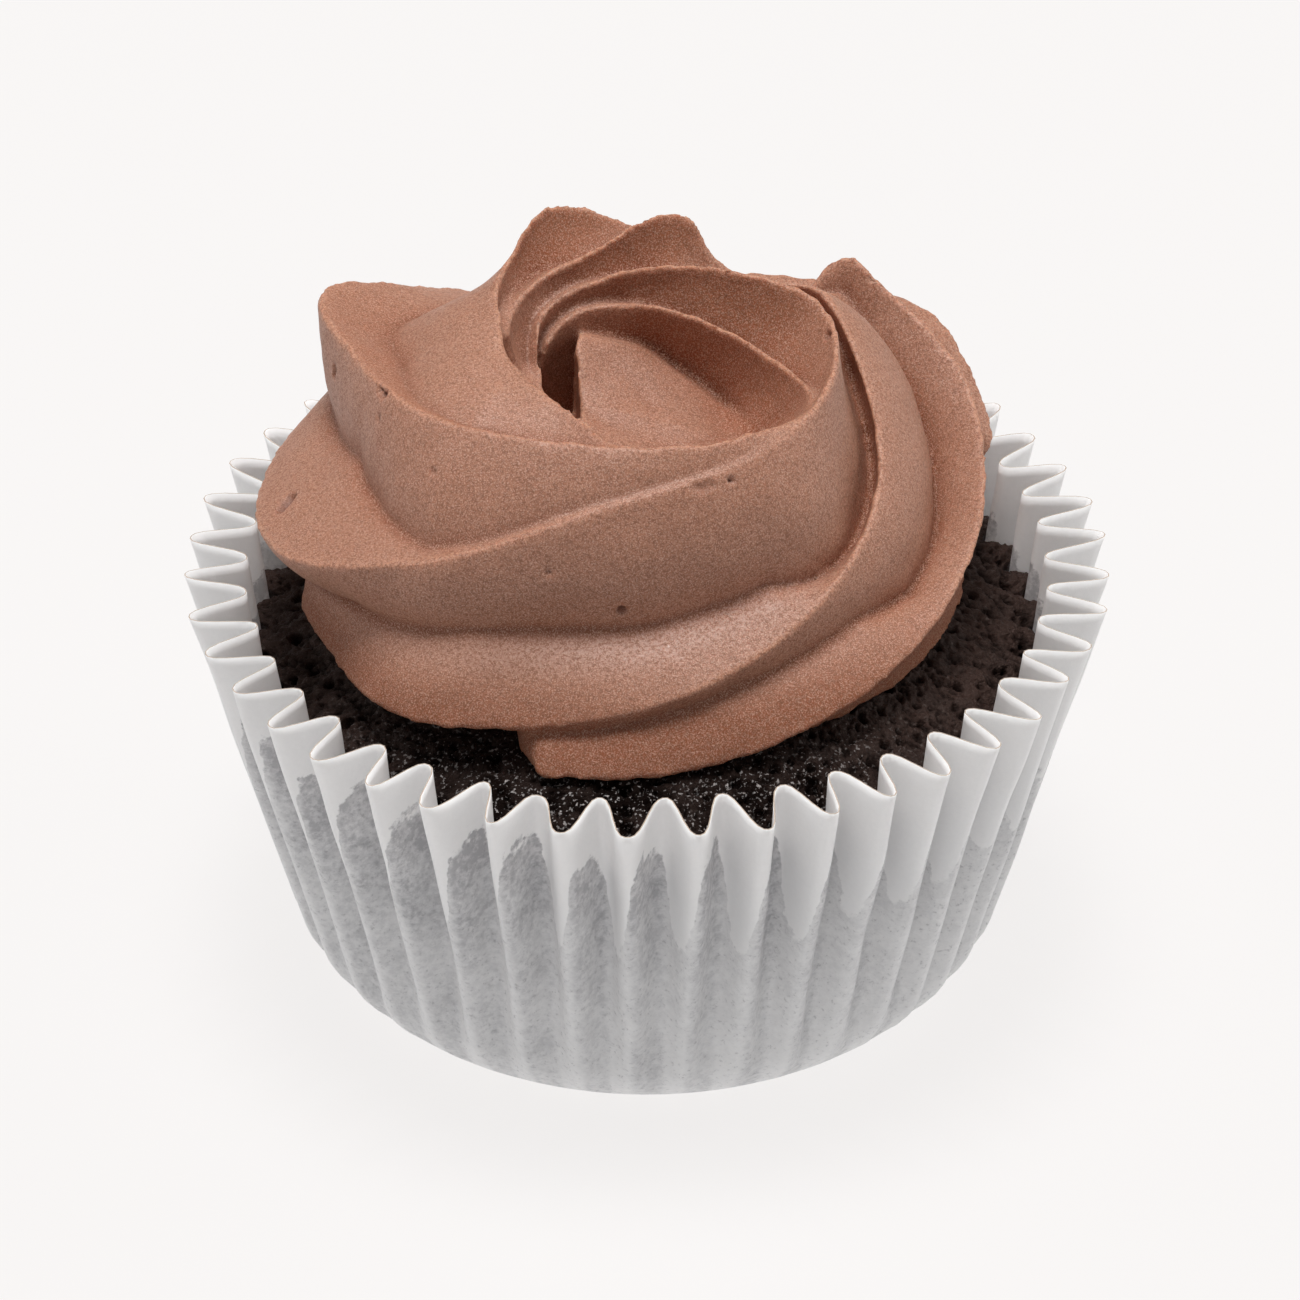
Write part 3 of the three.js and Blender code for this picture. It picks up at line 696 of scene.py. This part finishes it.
def lace(left, right, left_start, right_start):
    """Triangles between two rows of points, each point joined to the nearest along the other row."""
    along = []
    for row in (left, right):
        steps = np.linalg.norm(np.diff(row, axis=0), axis=1)
        along.append(np.concatenate([[0], np.cumsum(steps)]) / max(steps.sum(), 1e-9))
    faces, i, j = [], 0, 0
    while i < len(left) - 1 or j < len(right) - 1:
        next_left = along[0][i] + along[0][i + 1] if i < len(left) - 1 else np.inf
        next_right = along[1][j] + along[1][j + 1] if j < len(right) - 1 else np.inf
        if next_left < next_right:
            faces.append((left_start + i, right_start + j, left_start + i + 1))
            i += 1
        else:
            faces.append((left_start + i, right_start + j, right_start + j + 1))
            j += 1
    return faces


def swirl():
    """Points and triangles of the whole swirl."""
    cuts = [swirl_cut(360 * n / CUTS) for n in range(CUTS + 1)]
    starts = np.cumsum([0] + [len(points) for points, _ in cuts])
    faces = []
    for n in range(CUTS):
        (left, lips), (right, other) = cuts[n], cuts[n + 1]
        i = j = 0
        for lip, end in lips.items():
            if lip in other:
                last = other[lip]
                faces += lace(left[i:end + 1], right[j:last + 1], starts[n] + i, starts[n + 1] + j)
                i, j = end, last
    return np.concatenate([points for points, _ in cuts]), faces


cream = new_piece("piped_swirl", *swirl())
build = bmesh.new()
build.from_mesh(cream.data)
bmesh.ops.remove_doubles(build, verts=build.verts, dist=0.002 * MM)
bmesh.ops.dissolve_degenerate(build, edges=build.edges, dist=0.001 * MM)
build.to_mesh(cream.data)
build.free()
print("swirl:", len(cream.data.vertices), "points,", len(cream.data.polygons), "faces")

# %% [markdown]
# The cuts are exact, but cream is not: it has one skin, its edges are round, and it closes up where
# two folds press together. Remeshing with small voxels does all three at once.

# %% One skin
SKIN = 0.27 * MM


def one_skin(piece, size):
    """Remeshes a piece with small voxels and takes the steps off them."""
    remesh = piece.modifiers.new("one skin", "REMESH")
    remesh.mode = "VOXEL"
    remesh.voxel_size = size
    relax = piece.modifiers.new("relax", "SMOOTH")
    relax.factor = 0.5
    relax.iterations = 1
    settle(piece)


one_skin(cream, SKIN)
print("skin:", len(cream.data.vertices), "points")

# %% [markdown]
# The colour of the cream is painted with shade and highlight from its shape, so the mesh is measured
# once and carries the result: lips stand out from their surroundings and get a painted highlight,
# creases lie below them and get painted shade, and valleys are creases seen from further off, painted
# darker too. The mean of the surroundings is what a smoothing modifier gives.

# %% Measuring a mesh
def mark(piece, name, values):
    """Keeps a number for each point of the mesh, that a tree or a finish can read."""
    slot = piece.data.attributes.get(name) or piece.data.attributes.new(name, "FLOAT", "POINT")
    slot.data.foreach_set("value", np.asarray(values, np.float32))


def numbers(collection, name):
    """One list of vectors out of a mesh, as rows of three."""
    found = np.empty(len(collection) * 3, np.float32)
    collection.foreach_get(name, found)
    return found.reshape(-1, 3)


def sunk(piece, rounds):
    """How far each point lies below the mean of its surroundings, in millimetres."""
    even = piece.modifiers.new("even", "SMOOTH")
    even.factor = 1.0
    even.iterations = rounds
    bpy.context.view_layer.update()
    seen = piece.evaluated_get(bpy.context.evaluated_depsgraph_get())
    moved = numbers(seen.data.vertices, "co") - numbers(piece.data.vertices, "co")
    piece.modifiers.clear()
    return (moved * numbers(piece.data.vertex_normals, "vector")).sum(axis=1) / MM


def nearest(spots, piece):
    """How far each point of the mesh is from the nearest of these spots in millimetres, and which."""
    tree = KDTree(len(spots))
    for n, spot in enumerate(spots):
        tree.insert(Vector(spot) * MM, n)
    tree.balance()
    found = [tree.find(v.co) for v in piece.data.vertices]
    return np.array([f[2] / MM for f in found]), np.array([f[1] for f in found])


def on_swirl(name, angle, part, along):
    """A spot on the face inside a ridge: part 0 goes down to the groove, part 1 up to the next ridge."""
    ridges, row = section(angle % 360)
    turn = [one["lip"][0] for one in ridges].index(name)
    p, q, r, s = row[turn, part]
    u = 1 - along
    reach, height = u**3 * p + 3 * u * u * along * q + 3 * u * along**2 * r + along**3 * s
    return (EYE[0] + reach * cos(radians(angle)), EYE[1] + reach * sin(radians(angle)), height)


print("measuring with", len(cream.data.vertices), "points")

# %% Mark the lips and the creases
LIP_FULL, CREASE_FULL, VALLEY_FULL = 0.40, 0.35, 0.75  # millimetres that give the full colour
LOW_FROM, LOW_FADE, LOW_MOST = 39.5, 4.0, 0.85  # cream this low is shaded by the lobes above it

co = numbers(cream.data.vertices, "co") / MM
spots = co[:, :2] - EYE
reach = np.linalg.norm(spots, axis=1)  # from the eye, where the creases get shallow
hollow, wide = sunk(cream, 50), sunk(cream, 400)
low = np.clip((LOW_FROM - co[:, 2]) / LOW_FADE, 0, LOW_MOST)
valley_shade = (wide / VALLEY_FULL - 0.1) * np.interp(reach, [4, 9], [0.3, 1])
# painted highlight on the lips, painted shade in the creases and the valleys
mark(cream, "lip", np.clip(-hollow / LIP_FULL - 0.1, 0, 1))
mark(cream, "crease_shade", np.clip(hollow / CREASE_FULL - 0.1, 0, 1) * np.interp(reach, [4, 9], [0.5, 1]))
mark(cream, "valley_shade", np.clip(np.maximum(valley_shade, low), 0, 1))
# painted shade: faces inside the eye that look in towards it are marked to be darkened
inward = -(numbers(cream.data.vertex_normals, "vector")[:, :2] * spots).sum(axis=1) / np.maximum(reach, 0.1)
mark(cream, "eye_shade", np.clip(inward * 2, 0, 1) * np.interp(reach, [7, 10, 19, 25], [0, 1, 1, 0]))
print("creases:", int((hollow > 0.3).sum()), "points, lips:", int((hollow < -0.3).sum()))

# %% Mark the froth and the burst bubbles
froth_line = [on_swirl("third", angle, 0, 0.72) for angle in range(236, 332)]
far, which = nearest(froth_line, cream)
strength = np.interp(which, [0, 25, 60, 80, 95], [0.1, 0.7, 1.0, 0.6, 0.0])
mark(cream, "froth", strength * np.clip(1.35 - far / 1.7, 0, 1))
pits = [cream.closest_point_on_mesh(Vector(on_swirl(*pit[:4])) * MM)[1] / MM for pit in PITS]
wide_pit, deep_pit = np.array([pit[4:] for pit in PITS]).T
far, which = nearest(pits, cream)
# the pit mark dents the cream and also darkens it, as painted shade in the hole
mark(cream, "pit", np.clip(1.3 - far / wide_pit[which], 0, 1) * deep_pit[which])
print("bubbles:", len(PITS))

# %% [markdown]
# Cream tears a little as it leaves the nozzle: the lips come out beaded, the broad faces are faintly
# lumpy and here and there a bubble has burst. A node tree adds all that along the normals.

# %% The hand of the piper
def piping_tree():
    """Lumps, beaded lips and pits, pushed out or in along the normals."""
    tree, board, take, give = new_tree(
        "piping", "GeometryNodeTree",
        [("Geometry", SHAPE, None), ("Lump size", NUMBER, 0.005), ("Lumps", NUMBER, 0.0002),
         ("Bead size", NUMBER, 0.0018), ("Beads", NUMBER, 0.0002), ("Pit depth", NUMBER, 0.0005),
         ("Finish", FINISH, None)],
        [("Geometry", SHAPE)])
    spot = board.add("GeometryNodeInputPosition")
    lip, pit = [board.add("GeometryNodeInputNamedAttribute", {"Name": name}, data_type="FLOAT")
                for name in ("lip", "pit")]

    def noise(size, detail):  # from -1 to 1
        found = board.add("ShaderNodeTexNoise", {"Vector": spot, "Scale": board.over(1.0, size),
                                                 "Detail": detail})
        return board.times(board.minus(found, 0.5), 2.0)

    lumps = board.times(noise(take["Lump size"], 2.0), take["Lumps"])
    beads = board.times(board.times(noise(take["Bead size"], 1.0), lip), take["Beads"])
    pits = board.times(pit, take["Pit depth"])
    move = board.minus(board.plus(lumps, beads), pits)
    push = board.add("ShaderNodeVectorMath", {0: board.add("GeometryNodeInputNormal"), 3: move},
                     operation="SCALE")
    shape = board.add("GeometryNodeSetPosition", {"Geometry": take["Geometry"], "Offset": push})
    finish_tree(board, give, shape, take["Finish"])
    return tree


bake(cream, piping_tree(), Lump_size=4.0 * MM, Lumps=0.20 * MM, Bead_size=1.5 * MM, Beads=0.28 * MM,
     Pit_depth=0.7 * MM, Finish=BUTTERCREAM)
print("swirl:", len(cream.data.vertices), "points,", len(cream.data.materials), "finish")

# %% Dress the swirl
MOST_TRIANGLES = 190000


def thin(piece, triangles):
    """Takes out the points that a flat stretch can spare, down to this many triangles."""
    piece.data.calc_loop_triangles()
    spare = piece.modifiers.new("thin", "DECIMATE")
    spare.ratio = min(triangles / len(piece.data.loop_triangles), 1.0)
    settle(piece)


thin(cream, MOST_TRIANGLES)
cream.data.polygons.foreach_set("use_smooth", [True] * len(cream.data.polygons))
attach(cream, "root")
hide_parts("buttercream")
print("dressed:", cream.name)

# %% [markdown]
# ## Paper case
#
# A baking case is a disc of thin greased paper, pressed between two fluted dies. The paper cannot
# shrink, so all its extra edge goes into folds: nothing at the foot, and the deepest at the rim. We
# turn a plain cup first, then a node tree folds it. The folds are not all alike, so the tree also
# draws a little unevenness for each one.

# %% A plain cup
CASE_HEIGHT, RIM_RADIUS = 36.0, 37.9
BASE_RADIUS = 28.3  # of the straight wall, if it ran down to the table
BASE_ROUND, FOOT_RADIUS = 6.5, 22.4  # height of the rolled edge, radius of the flat foot
FLUTES, FLUTE_DEPTH = 43, 5.0
PAPER = 0.09  # thickness
PAPER_COLUMNS = 14  # for each flute


def wall_radius(z):
    """The mean radius of the pleated wall at this height."""
    straight = BASE_RADIUS + (RIM_RADIUS - FLUTE_DEPTH / 2 - BASE_RADIUS) * z / CASE_HEIGHT
    if z >= BASE_ROUND:
        return straight
    roll = (1 - (1 - z / BASE_ROUND) ** 2) ** 0.5
    return FOOT_RADIUS + (straight - FOOT_RADIUS) * roll


def ring_faces(rings, count):
    """Faces of a turned shape: point 0 is the middle of its underside, then come rings of points."""
    faces = []
    for n in range(count):
        m = (n + 1) % count
        faces.append((0, 1 + m, 1 + n))
        for i in range(rings - 1):
            a, b = 1 + i * count, 1 + (i + 1) * count
            faces.append((a + n, a + m, b + m, b + n))
    return faces


def turned_cup(rings, count):
    """A lathe: points and faces of (radius, height) rings, closed below."""
    points = [(0, 0, rings[0][1])]
    for r, z in rings:
        points += [(r * cos(2 * pi * n / count), r * sin(2 * pi * n / count), z) for n in range(count)]
    return points, ring_faces(len(rings), count)


cup_rings = [(r, PAPER) for r in (6, 12, 17, 20, FOOT_RADIUS)]
cup_rings += [(wall_radius(z), max(z, PAPER)) for z in (0.25, 0.7, 1.3, 2.1, 3.1, 4.3, 5.4, 6.5)]
cup_rings += [(wall_radius(z), z) for z in np.linspace(7.5, CASE_HEIGHT, 30)]
paper = new_piece("pleated_paper", *turned_cup(cup_rings, FLUTES * PAPER_COLUMNS))
print("cup:", len(paper.data.vertices), "points")

# %% Fold it
FIRST_FOLD = 140.4  # degrees round the axis
FOLD_DRIFT, DRIFT_TO = 1.9, 265.0  # the folds are pushed by up to 1.9 degrees, most at 265
FOLD_START, FOLD_GROWTH = 2.0, 0.9  # folds start 2 mm up and deepen a little faster near the foot


def pleat_tree():
    """Folds a plain cup into flutes that deepen towards the rim, no two quite the same."""
    tree, board, take, give = new_tree(
        "pleats", "GeometryNodeTree",
        [("Geometry", SHAPE, None), ("Flutes", WHOLE, 43), ("Depth", NUMBER, 0.005),
         ("First fold", NUMBER, 0.0), ("Drift", NUMBER, 0.0), ("Height", NUMBER, 0.036),
         ("Steepness", NUMBER, 0.3), ("Unevenness", NUMBER, 0.1), ("Finish", FINISH, None)],
        [("Geometry", SHAPE)])
    spot = board.add("ShaderNodeSeparateXYZ", {0: board.add("GeometryNodeInputPosition")}, out=None)
    x, y, z = spot.outputs
    even = board.calc("ARCTAN2", y, x)
    radius = board.calc("SQRT", board.plus(board.times(x, x), board.times(y, y)))
    crowd = board.calc("COSINE", board.plus(even, radians(360 - DRIFT_TO)))
    phase = board.times(take["Flutes"], even)
    # a slow noise round the rim makes each fold a little more crooked, deeper and higher
    round_rim = board.add("ShaderNodeCombineXYZ", {
        0: board.calc("COSINE", even), 1: board.calc("SINE", even), 2: board.times(z, 9.0)})
    noise = board.add("ShaderNodeTexNoise", {"Vector": round_rim, "Scale": 7.0, "Detail": 1.0}, out=None)
    wobble = board.add("ShaderNodeSeparateXYZ", {0: noise.outputs["Color"]}, out=None)
    crooked, deeper, higher = [board.times(board.minus(w, 0.5), take["Unevenness"]) for w in wobble.outputs]
    phase = board.plus(phase, board.times(crooked, 12.0))
    start = board.times(take["Flutes"], take["First fold"])
    wave = board.calc("COSINE", board.minus(phase, start))
    flat = board.times(take["Steepness"], board.minus(1.0, board.times(wave, wave)))
    fold = board.times(wave, board.plus(1.0, flat))  # rounder tops, steeper sides
    rise = board.over(board.calc("MAXIMUM", board.minus(z, FOLD_START * MM), 0.0),
                      board.minus(take["Height"], FOLD_START * MM))
    deep = board.times(board.calc("POWER", rise, FOLD_GROWTH), take["Depth"])
    deep = board.times(deep, board.plus(1.0, board.times(deeper, 3.0)))
    radius = board.plus(radius, board.times(board.times(fold, deep), 0.5))
    angle = board.plus(even, board.times(crowd, take["Drift"]))
    high = board.plus(z, board.times(board.times(higher, rise), 0.01))
    place = board.add("ShaderNodeCombineXYZ", {
        0: board.times(radius, board.calc("COSINE", angle)),
        1: board.times(radius, board.calc("SINE", angle)), 2: high})
    shape = board.add("GeometryNodeSetPosition", {"Geometry": take["Geometry"], "Position": place})
    shape = board.add("GeometryNodeStoreNamedAttribute", {
        "Geometry": shape, "Name": "fold", "Value": fold}, data_type="FLOAT", domain="POINT")
    finish_tree(board, give, shape, take["Finish"])
    return tree


print("folds:", FLUTES, "of", FLUTE_DEPTH, "mm")

# %% [markdown]
# Greaseproof paper scatters light all through its thickness. It is white where air lies behind it
# and greyer where the wet crumb touches it and shows through, in tongues that follow the folds. The
# inward folds are kept greyer too, as painted shade between the pleats.

# %% Paper finish
PAPER_WHITE, PAPER_FIBRE = (0.90, 0.89, 0.885, 1), (0.85, 0.84, 0.84, 1)
PAPER_WET, PAPER_WETTEST = (0.40, 0.395, 0.41, 1), (0.25, 0.24, 0.25, 1)
PAPER_CUT_EDGE = (0.42, 0.33, 0.26, 1)


def paper_finish():
    """White paper, with a ragged grey stain wherever the crumb wets it, and painted shade on the inward
    folds.
    """
    finish, board, shader, put = new_finish("white baking paper")
    fibre = effect(board, SPECKLE, "Grain", Size=0.45, Sharpness=0.75)
    shade = effect(board, CLOUD, "Shade", Size=0.55, Contrast=0.5)
    patch = effect(board, CLOUD, "Shade", Size=4.5, Contrast=0.5)
    fleck = effect(board, SPECKLE, "Grain", Size=0.9, Sharpness=0.8)
    wander = effect(board, CLOUD, "Shade", Size=1.7, Contrast=0.5)
    below, fold, edge = map(board.mark, ("below", "fold", "edge"))
    # millimetres below the wet line, which is ragged
    torn = board.plus(below, board.ramp(fleck, 0.3, 0.7, -0.2, 0.2))
    torn = board.plus(torn, board.ramp(wander, 0.0, 1.0, -0.7, 0.7))
    touch = board.ramp(torn, -0.2, 0.6, 0.0, 1.0)
    # the grey fades towards the foot and on the outward folds, which stand off the crumb; on the inward folds
    # it is also painted shade
    fades = board.times(board.ramp(torn, 0.0, 18.0, 1.0, 0.55), board.ramp(fold, -0.7, 0.8, 1.05, 0.4))
    blot = board.times(board.blend(shade, 0.75, 1.12), board.blend(patch, 0.68, 1.15))
    blot = board.times(blot, board.ramp(fleck, 0.36, 0.6, 0.75, 1.1))
    grey = board.times(board.times(touch, fades), blot)
    base = board.tint(board.ramp(fibre, 0.3, 0.7, 0.0, 0.4), PAPER_WHITE, PAPER_FIBRE)
    base = board.tint(grey, base, PAPER_WET)
    base = board.tint(board.times(touch, board.ramp(fibre, 0.58, 0.7, 0.0, 0.4)), base, PAPER_WETTEST)
    base = board.tint(edge, base, PAPER_CUT_EDGE)
    put("Base Color", base)
    put("Roughness", board.ramp(fibre, 0.2, 0.8, 0.55, 0.8))
    shader.inputs["Specular IOR Level"].default_value = 0.3
    shader.inputs["Subsurface Weight"].default_value = 0.35
    shader.inputs["Subsurface Radius"].default_value = (1.0, 0.95, 0.9)
    shader.inputs["Subsurface Scale"].default_value = 0.6 * MM
    bump = board.add("ShaderNodeBump", {"Strength": 0.35, "Distance": MM,
                                        "Height": board.times(fibre, 0.05)})
    put("Normal", bump)
    return finish


WHITE_PAPER = paper_finish()
print("finish:", WHITE_PAPER.name)

# %% [markdown]
# Where the crumb wets the paper depends on the folds: inward folds touch it up to the crust, outward
# ones stand off it and stay white much further down. Each point of the paper gets its distance below
# that line. The cut edge of the rim is kept flat and tinted a darker tan.

# %% Wet line and thickness
WET_LINE = 4.6  # below the rim, on the inward folds
WET_TONGUE, TONGUE_SHAPE = 10.0, 1.8  # how much lower it runs on the outward ones, and how sharply
RAGGED = ((0.37, 0.72, 0.0), (0.83, 0.56, 2.0), (90 / FLUTES, 0.4, 0.0))  # waves a flute, height, start

bake(paper, pleat_tree(), Flutes=FLUTES, Depth=FLUTE_DEPTH * MM, First_fold=radians(FIRST_FOLD),
     Drift=radians(FOLD_DRIFT), Height=CASE_HEIGHT * MM, Steepness=0.3, Unevenness=0.12, Finish=WHITE_PAPER)
co = numbers(paper.data.vertices, "co") / MM
fold = np.array([a.value for a in paper.data.attributes["fold"].data])
way = np.arctan2(co[:, 1], co[:, 0])
ragged = sum(high * np.sin(FLUTES * waves * way + start) for waves, high, start in RAGGED)
outward = np.clip((fold + 1) / 2, 0, 1)
wet_top = CASE_HEIGHT - WET_LINE - WET_TONGUE * outward**TONGUE_SHAPE
mark(paper, "below", wet_top + ragged - co[:, 2])
thick = paper.modifiers.new("thickness", "SOLIDIFY")
thick.thickness = PAPER * MM
thick.offset = -1
settle(paper)
normals, middles = numbers(paper.data.polygons, "normal"), numbers(paper.data.polygons, "center")
rim = (normals[:, 2] > 0.7) & (middles[:, 2] > (CASE_HEIGHT - 3) * MM)
paper.data.attributes.new("edge", "FLOAT", "FACE").data.foreach_set("value", rim.astype(np.float32))
paper.data.polygons.foreach_set("use_smooth", ~rim)
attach(paper, "root")
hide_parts("paper_case")
print("paper:", len(paper.data.vertices), "points")

# %% [markdown]
# ## Sponge
#
# Only a ring of the cake shows. It is nearly black, moist, and full of pores about a millimetre
# wide. The pores are real dents in the mesh, because they catch the light from every side; they and
# the hollows between the lumps are also painted darker, as painted shade. Towards the front the crust
# has torn and is wetter: the crumb is blacker there, with small bright glints, partly real gloss and
# partly painted highlight.

# %% Crumb finish
CRUMB_DARK, CRUMB_PALE = (0.012, 0.0048, 0.0032, 1), (0.023, 0.0100, 0.0068, 1)
CRUMB_MOIST, CRUMB_PORE_SHADE = (0.0030, 0.0012, 0.0008, 1), (0.002, 0.001, 0.0008, 1)
CRUMB_PAINTED_SPARKLE, CRUMB_PAINTED_GLINT = (0.12, 0.10, 0.09, 1), (0.34, 0.325, 0.32, 1)


def crumb_finish():
    """A dull, nearly black crumb that glints where it is moist, with a painted highlight on its glints and
    painted shade in its pores.
    """
    finish, board, shader, put = new_finish("dark chocolate crumb")
    grain = effect(board, SPECKLE, "Grain", Size=0.45, Sharpness=0.7)
    wet_sparkle = effect(board, SPECKLE, "Sparkle", Size=0.5)
    shade = effect(board, CLOUD, "Shade", Size=4.0, Contrast=0.4)
    pore_shade, moist = map(board.mark, ("pore_shade", "moist"))
    moist = board.times(moist, board.ramp(shade, 0.1, 0.7, 0.6, 1.0))
    bead = effect(board, SPECKLE, "Grain", Size=0.32, Sharpness=0.5)
    glint = board.times(board.ramp(bead, 0.59, 0.64), moist)
    base = board.tint(shade, CRUMB_DARK, CRUMB_PALE)
    base = board.tint(moist, base, CRUMB_MOIST)
    # painted highlight: pale specks for the wet sparkles and the glints, on top of their real gloss
    base = board.tint(board.times(wet_sparkle, 0.5), base, CRUMB_PAINTED_SPARKLE)
    base = board.tint(glint, base, CRUMB_PAINTED_GLINT)
    # painted shade in the pores and the hollows between the lumps
    base = board.tint(board.times(pore_shade, 0.9), base, CRUMB_PORE_SHADE)
    put("Base Color", base)
    dry = board.minus(board.ramp(grain, 0.35, 0.65, 0.45, 0.7), board.times(wet_sparkle, 0.3))
    put("Roughness", board.blend(glint, dry, 0.12))
    dull = board.blend(pore_shade, board.blend(moist, 0.45, 0.06), 0.05)
    put("Specular IOR Level", board.blend(glint, dull, 1.0))
    shader.inputs["Specular Tint"].default_value = (1.0, 0.78, 0.70, 1)
    bump = board.add("ShaderNodeBump", {"Strength": 1.0, "Distance": MM, "Height": board.times(grain, 0.4)})
    put("Normal", bump)
    return finish


CRUMB = crumb_finish()
print("finish:", CRUMB.name)

# %% The dome
CRUMB_ROOM = 1.5  # between crumb and paper
CRUMB_SWELL = 0.66  # how far the crumb follows a fold of the paper
CRUMB_COLUMNS = 25  # for each flute
RING_PITCH, FINE_INSIDE = 0.2, 19.9  # the rings are this close down to this radius, under the cream
SPREAD = 6  # power: how close to its edge the dome starts to follow the folds


def sponge_rings():
    """The dome's (radius, height) rings, from the middle of the underside to the top."""
    rings = [(r, 0.8) for r in (8, 16, 21)]
    rings += [(wall_radius(z), z) for z in (1.0, 3.0, 5.0, 8.0, 14.0, 20.0, 25.0, 27.5)]
    top = [*np.arange(CRUST_RADIUS, FINE_INSIDE, -RING_PITCH), 18, 15, 11, 6, 2]
    return rings + [(r, dome_height(r)) for r in top]


def crumb_wall(z, out):
    """Where the crumb ends at this height: out is 1 on an outward fold and -1 on an inward one."""
    rise = max(0.0, (z - FOLD_START) / (CASE_HEIGHT - FOLD_START))
    return wall_radius(z) - CRUMB_ROOM + CRUMB_SWELL * out * FLUTE_DEPTH * rise**FOLD_GROWTH / 2


def sponge_mesh():
    """Points and faces of the whole sponge."""
    count = FLUTES * CRUMB_COLUMNS
    rings = sponge_rings()
    points = [(0, 0, rings[0][1])]
    for r, z in rings:
        for n in range(count):
            even = 2 * pi * n / count
            angle = even + radians(FOLD_DRIFT) * cos(even - radians(DRIFT_TO))
            out = cos(FLUTES * (even - radians(FIRST_FOLD)))
            if z < 1:
                here = min(r, crumb_wall(z, out))
            elif z < CRUST_EDGE:
                here = crumb_wall(z, out)
            else:
                share = r / CRUST_RADIUS
                here = share * (CRUST_RADIUS + (crumb_wall(CRUST_EDGE, out) - CRUST_RADIUS) * share**SPREAD)
            points.append((here * cos(angle), here * sin(angle), z))
    last = 1 + (len(rings) - 1) * count
    points.append((0, 0, dome_height(0)))
    cap = [(last + n, last + (n + 1) % count, len(points) - 1) for n in range(count)]
    return points, ring_faces(len(rings), count) + cap


sponge = new_piece("chocolate_crumb", *sponge_mesh())
print("sponge:", len(sponge.data.vertices), "points")

# %% Open the crumb
def crumb_tree():
    """Pores of two sizes and a rough skin, on all that lies above a height, with painted shade marked in the
    pores and hollows.
    """
    tree, board, take, give = new_tree(
        "open crumb", "GeometryNodeTree",
        [("Geometry", SHAPE, None), ("Pore size", NUMBER, 0.0011), ("Pore depth", NUMBER, 0.0005),
         ("Lump size", NUMBER, 0.0016), ("Lumps", NUMBER, 0.0004), ("From height", NUMBER, 0.028),
         ("Finish", FINISH, None)],
        [("Geometry", SHAPE)])
    spot = board.add("GeometryNodeInputPosition")
    z = board.add("ShaderNodeSeparateXYZ", {0: spot}, out=2)
    shown = board.ramp(z, take["From height"], board.plus(take["From height"], 1.3 * MM))

    def pores(size):
        often = board.over(1.0, size)
        cells = board.add("ShaderNodeTexVoronoi", {"Vector": spot, "Scale": often}, out=None)
        chance = board.add("ShaderNodeSeparateXYZ", {0: cells.outputs["Color"]}, out=0)
        wide = board.ramp(chance, 0.2, 1.0, 0.1, 0.48)
        return board.ramp(board.over(cells.outputs["Distance"], wide), 0.5, 1.0, 1.0, 0.0)

    small = board.times(pores(board.times(take["Pore size"], 0.55)), 0.6)
    hole = board.calc("MAXIMUM", pores(take["Pore size"]), small)
    lumps = board.add("ShaderNodeTexNoise", {"Vector": spot, "Scale": board.over(1.0, take["Lump size"]),
                                             "Detail": 4.0, "Roughness": 0.75})
    lift = board.times(board.minus(lumps, 0.5), board.times(take["Lumps"], 2.0))
    lift = board.minus(lift, board.times(hole, take["Pore depth"]))
    lift = board.times(lift, shown)
    move = board.add("ShaderNodeVectorMath", {0: board.add("GeometryNodeInputNormal"), "Scale": lift},
                     operation="SCALE")
    # painted shade: the pores and the low parts of the lumps are stored to be darkened
    recess_shade = board.times(board.calc("MAXIMUM", hole, board.ramp(lumps, 0.5, 0.36, 0.0, 0.9)), shown)
    shape = board.add("GeometryNodeStoreNamedAttribute", {
        "Geometry": take["Geometry"], "Name": "pore_shade", "Value": recess_shade}, data_type="FLOAT", domain="POINT")
    shape = board.add("GeometryNodeSetPosition", {"Geometry": shape, "Offset": move})
    finish_tree(board, give, shape, take["Finish"])
    return tree


MOIST_MIDDLE, MOIST_REACH = -5, 46  # degrees from the front, towards the right

co = numbers(sponge.data.vertices, "co") / MM
aside = np.degrees(np.arctan2(co[:, 0], -co[:, 1]))
torn = np.exp(-((aside - MOIST_MIDDLE) / MOIST_REACH) ** 4)
mark(sponge, "moist", torn * np.interp(np.hypot(co[:, 0], co[:, 1]), [20, 26], [0, 1]))
bake(sponge, crumb_tree(), Pore_size=1.5 * MM, Pore_depth=0.8 * MM, Lump_size=MM / 0.6, Lumps=1.0 * MM,
     From_height=27.5 * MM, Finish=CRUMB)
sponge.data.polygons.foreach_set("use_smooth", [True] * len(sponge.data.polygons))
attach(sponge, "root")
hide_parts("sponge")
print("sponge:", len(sponge.data.vertices), "points")

# %% [markdown]
# ## Triangles
#
# The last cell counts the triangles of the three dressed pieces.

# %% Triangles
bpy.context.view_layer.update()
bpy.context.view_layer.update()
for piece in (paper, sponge, cream):
    piece.data.calc_loop_triangles()
    print(piece.name, len(piece.data.loop_triangles), "triangles")
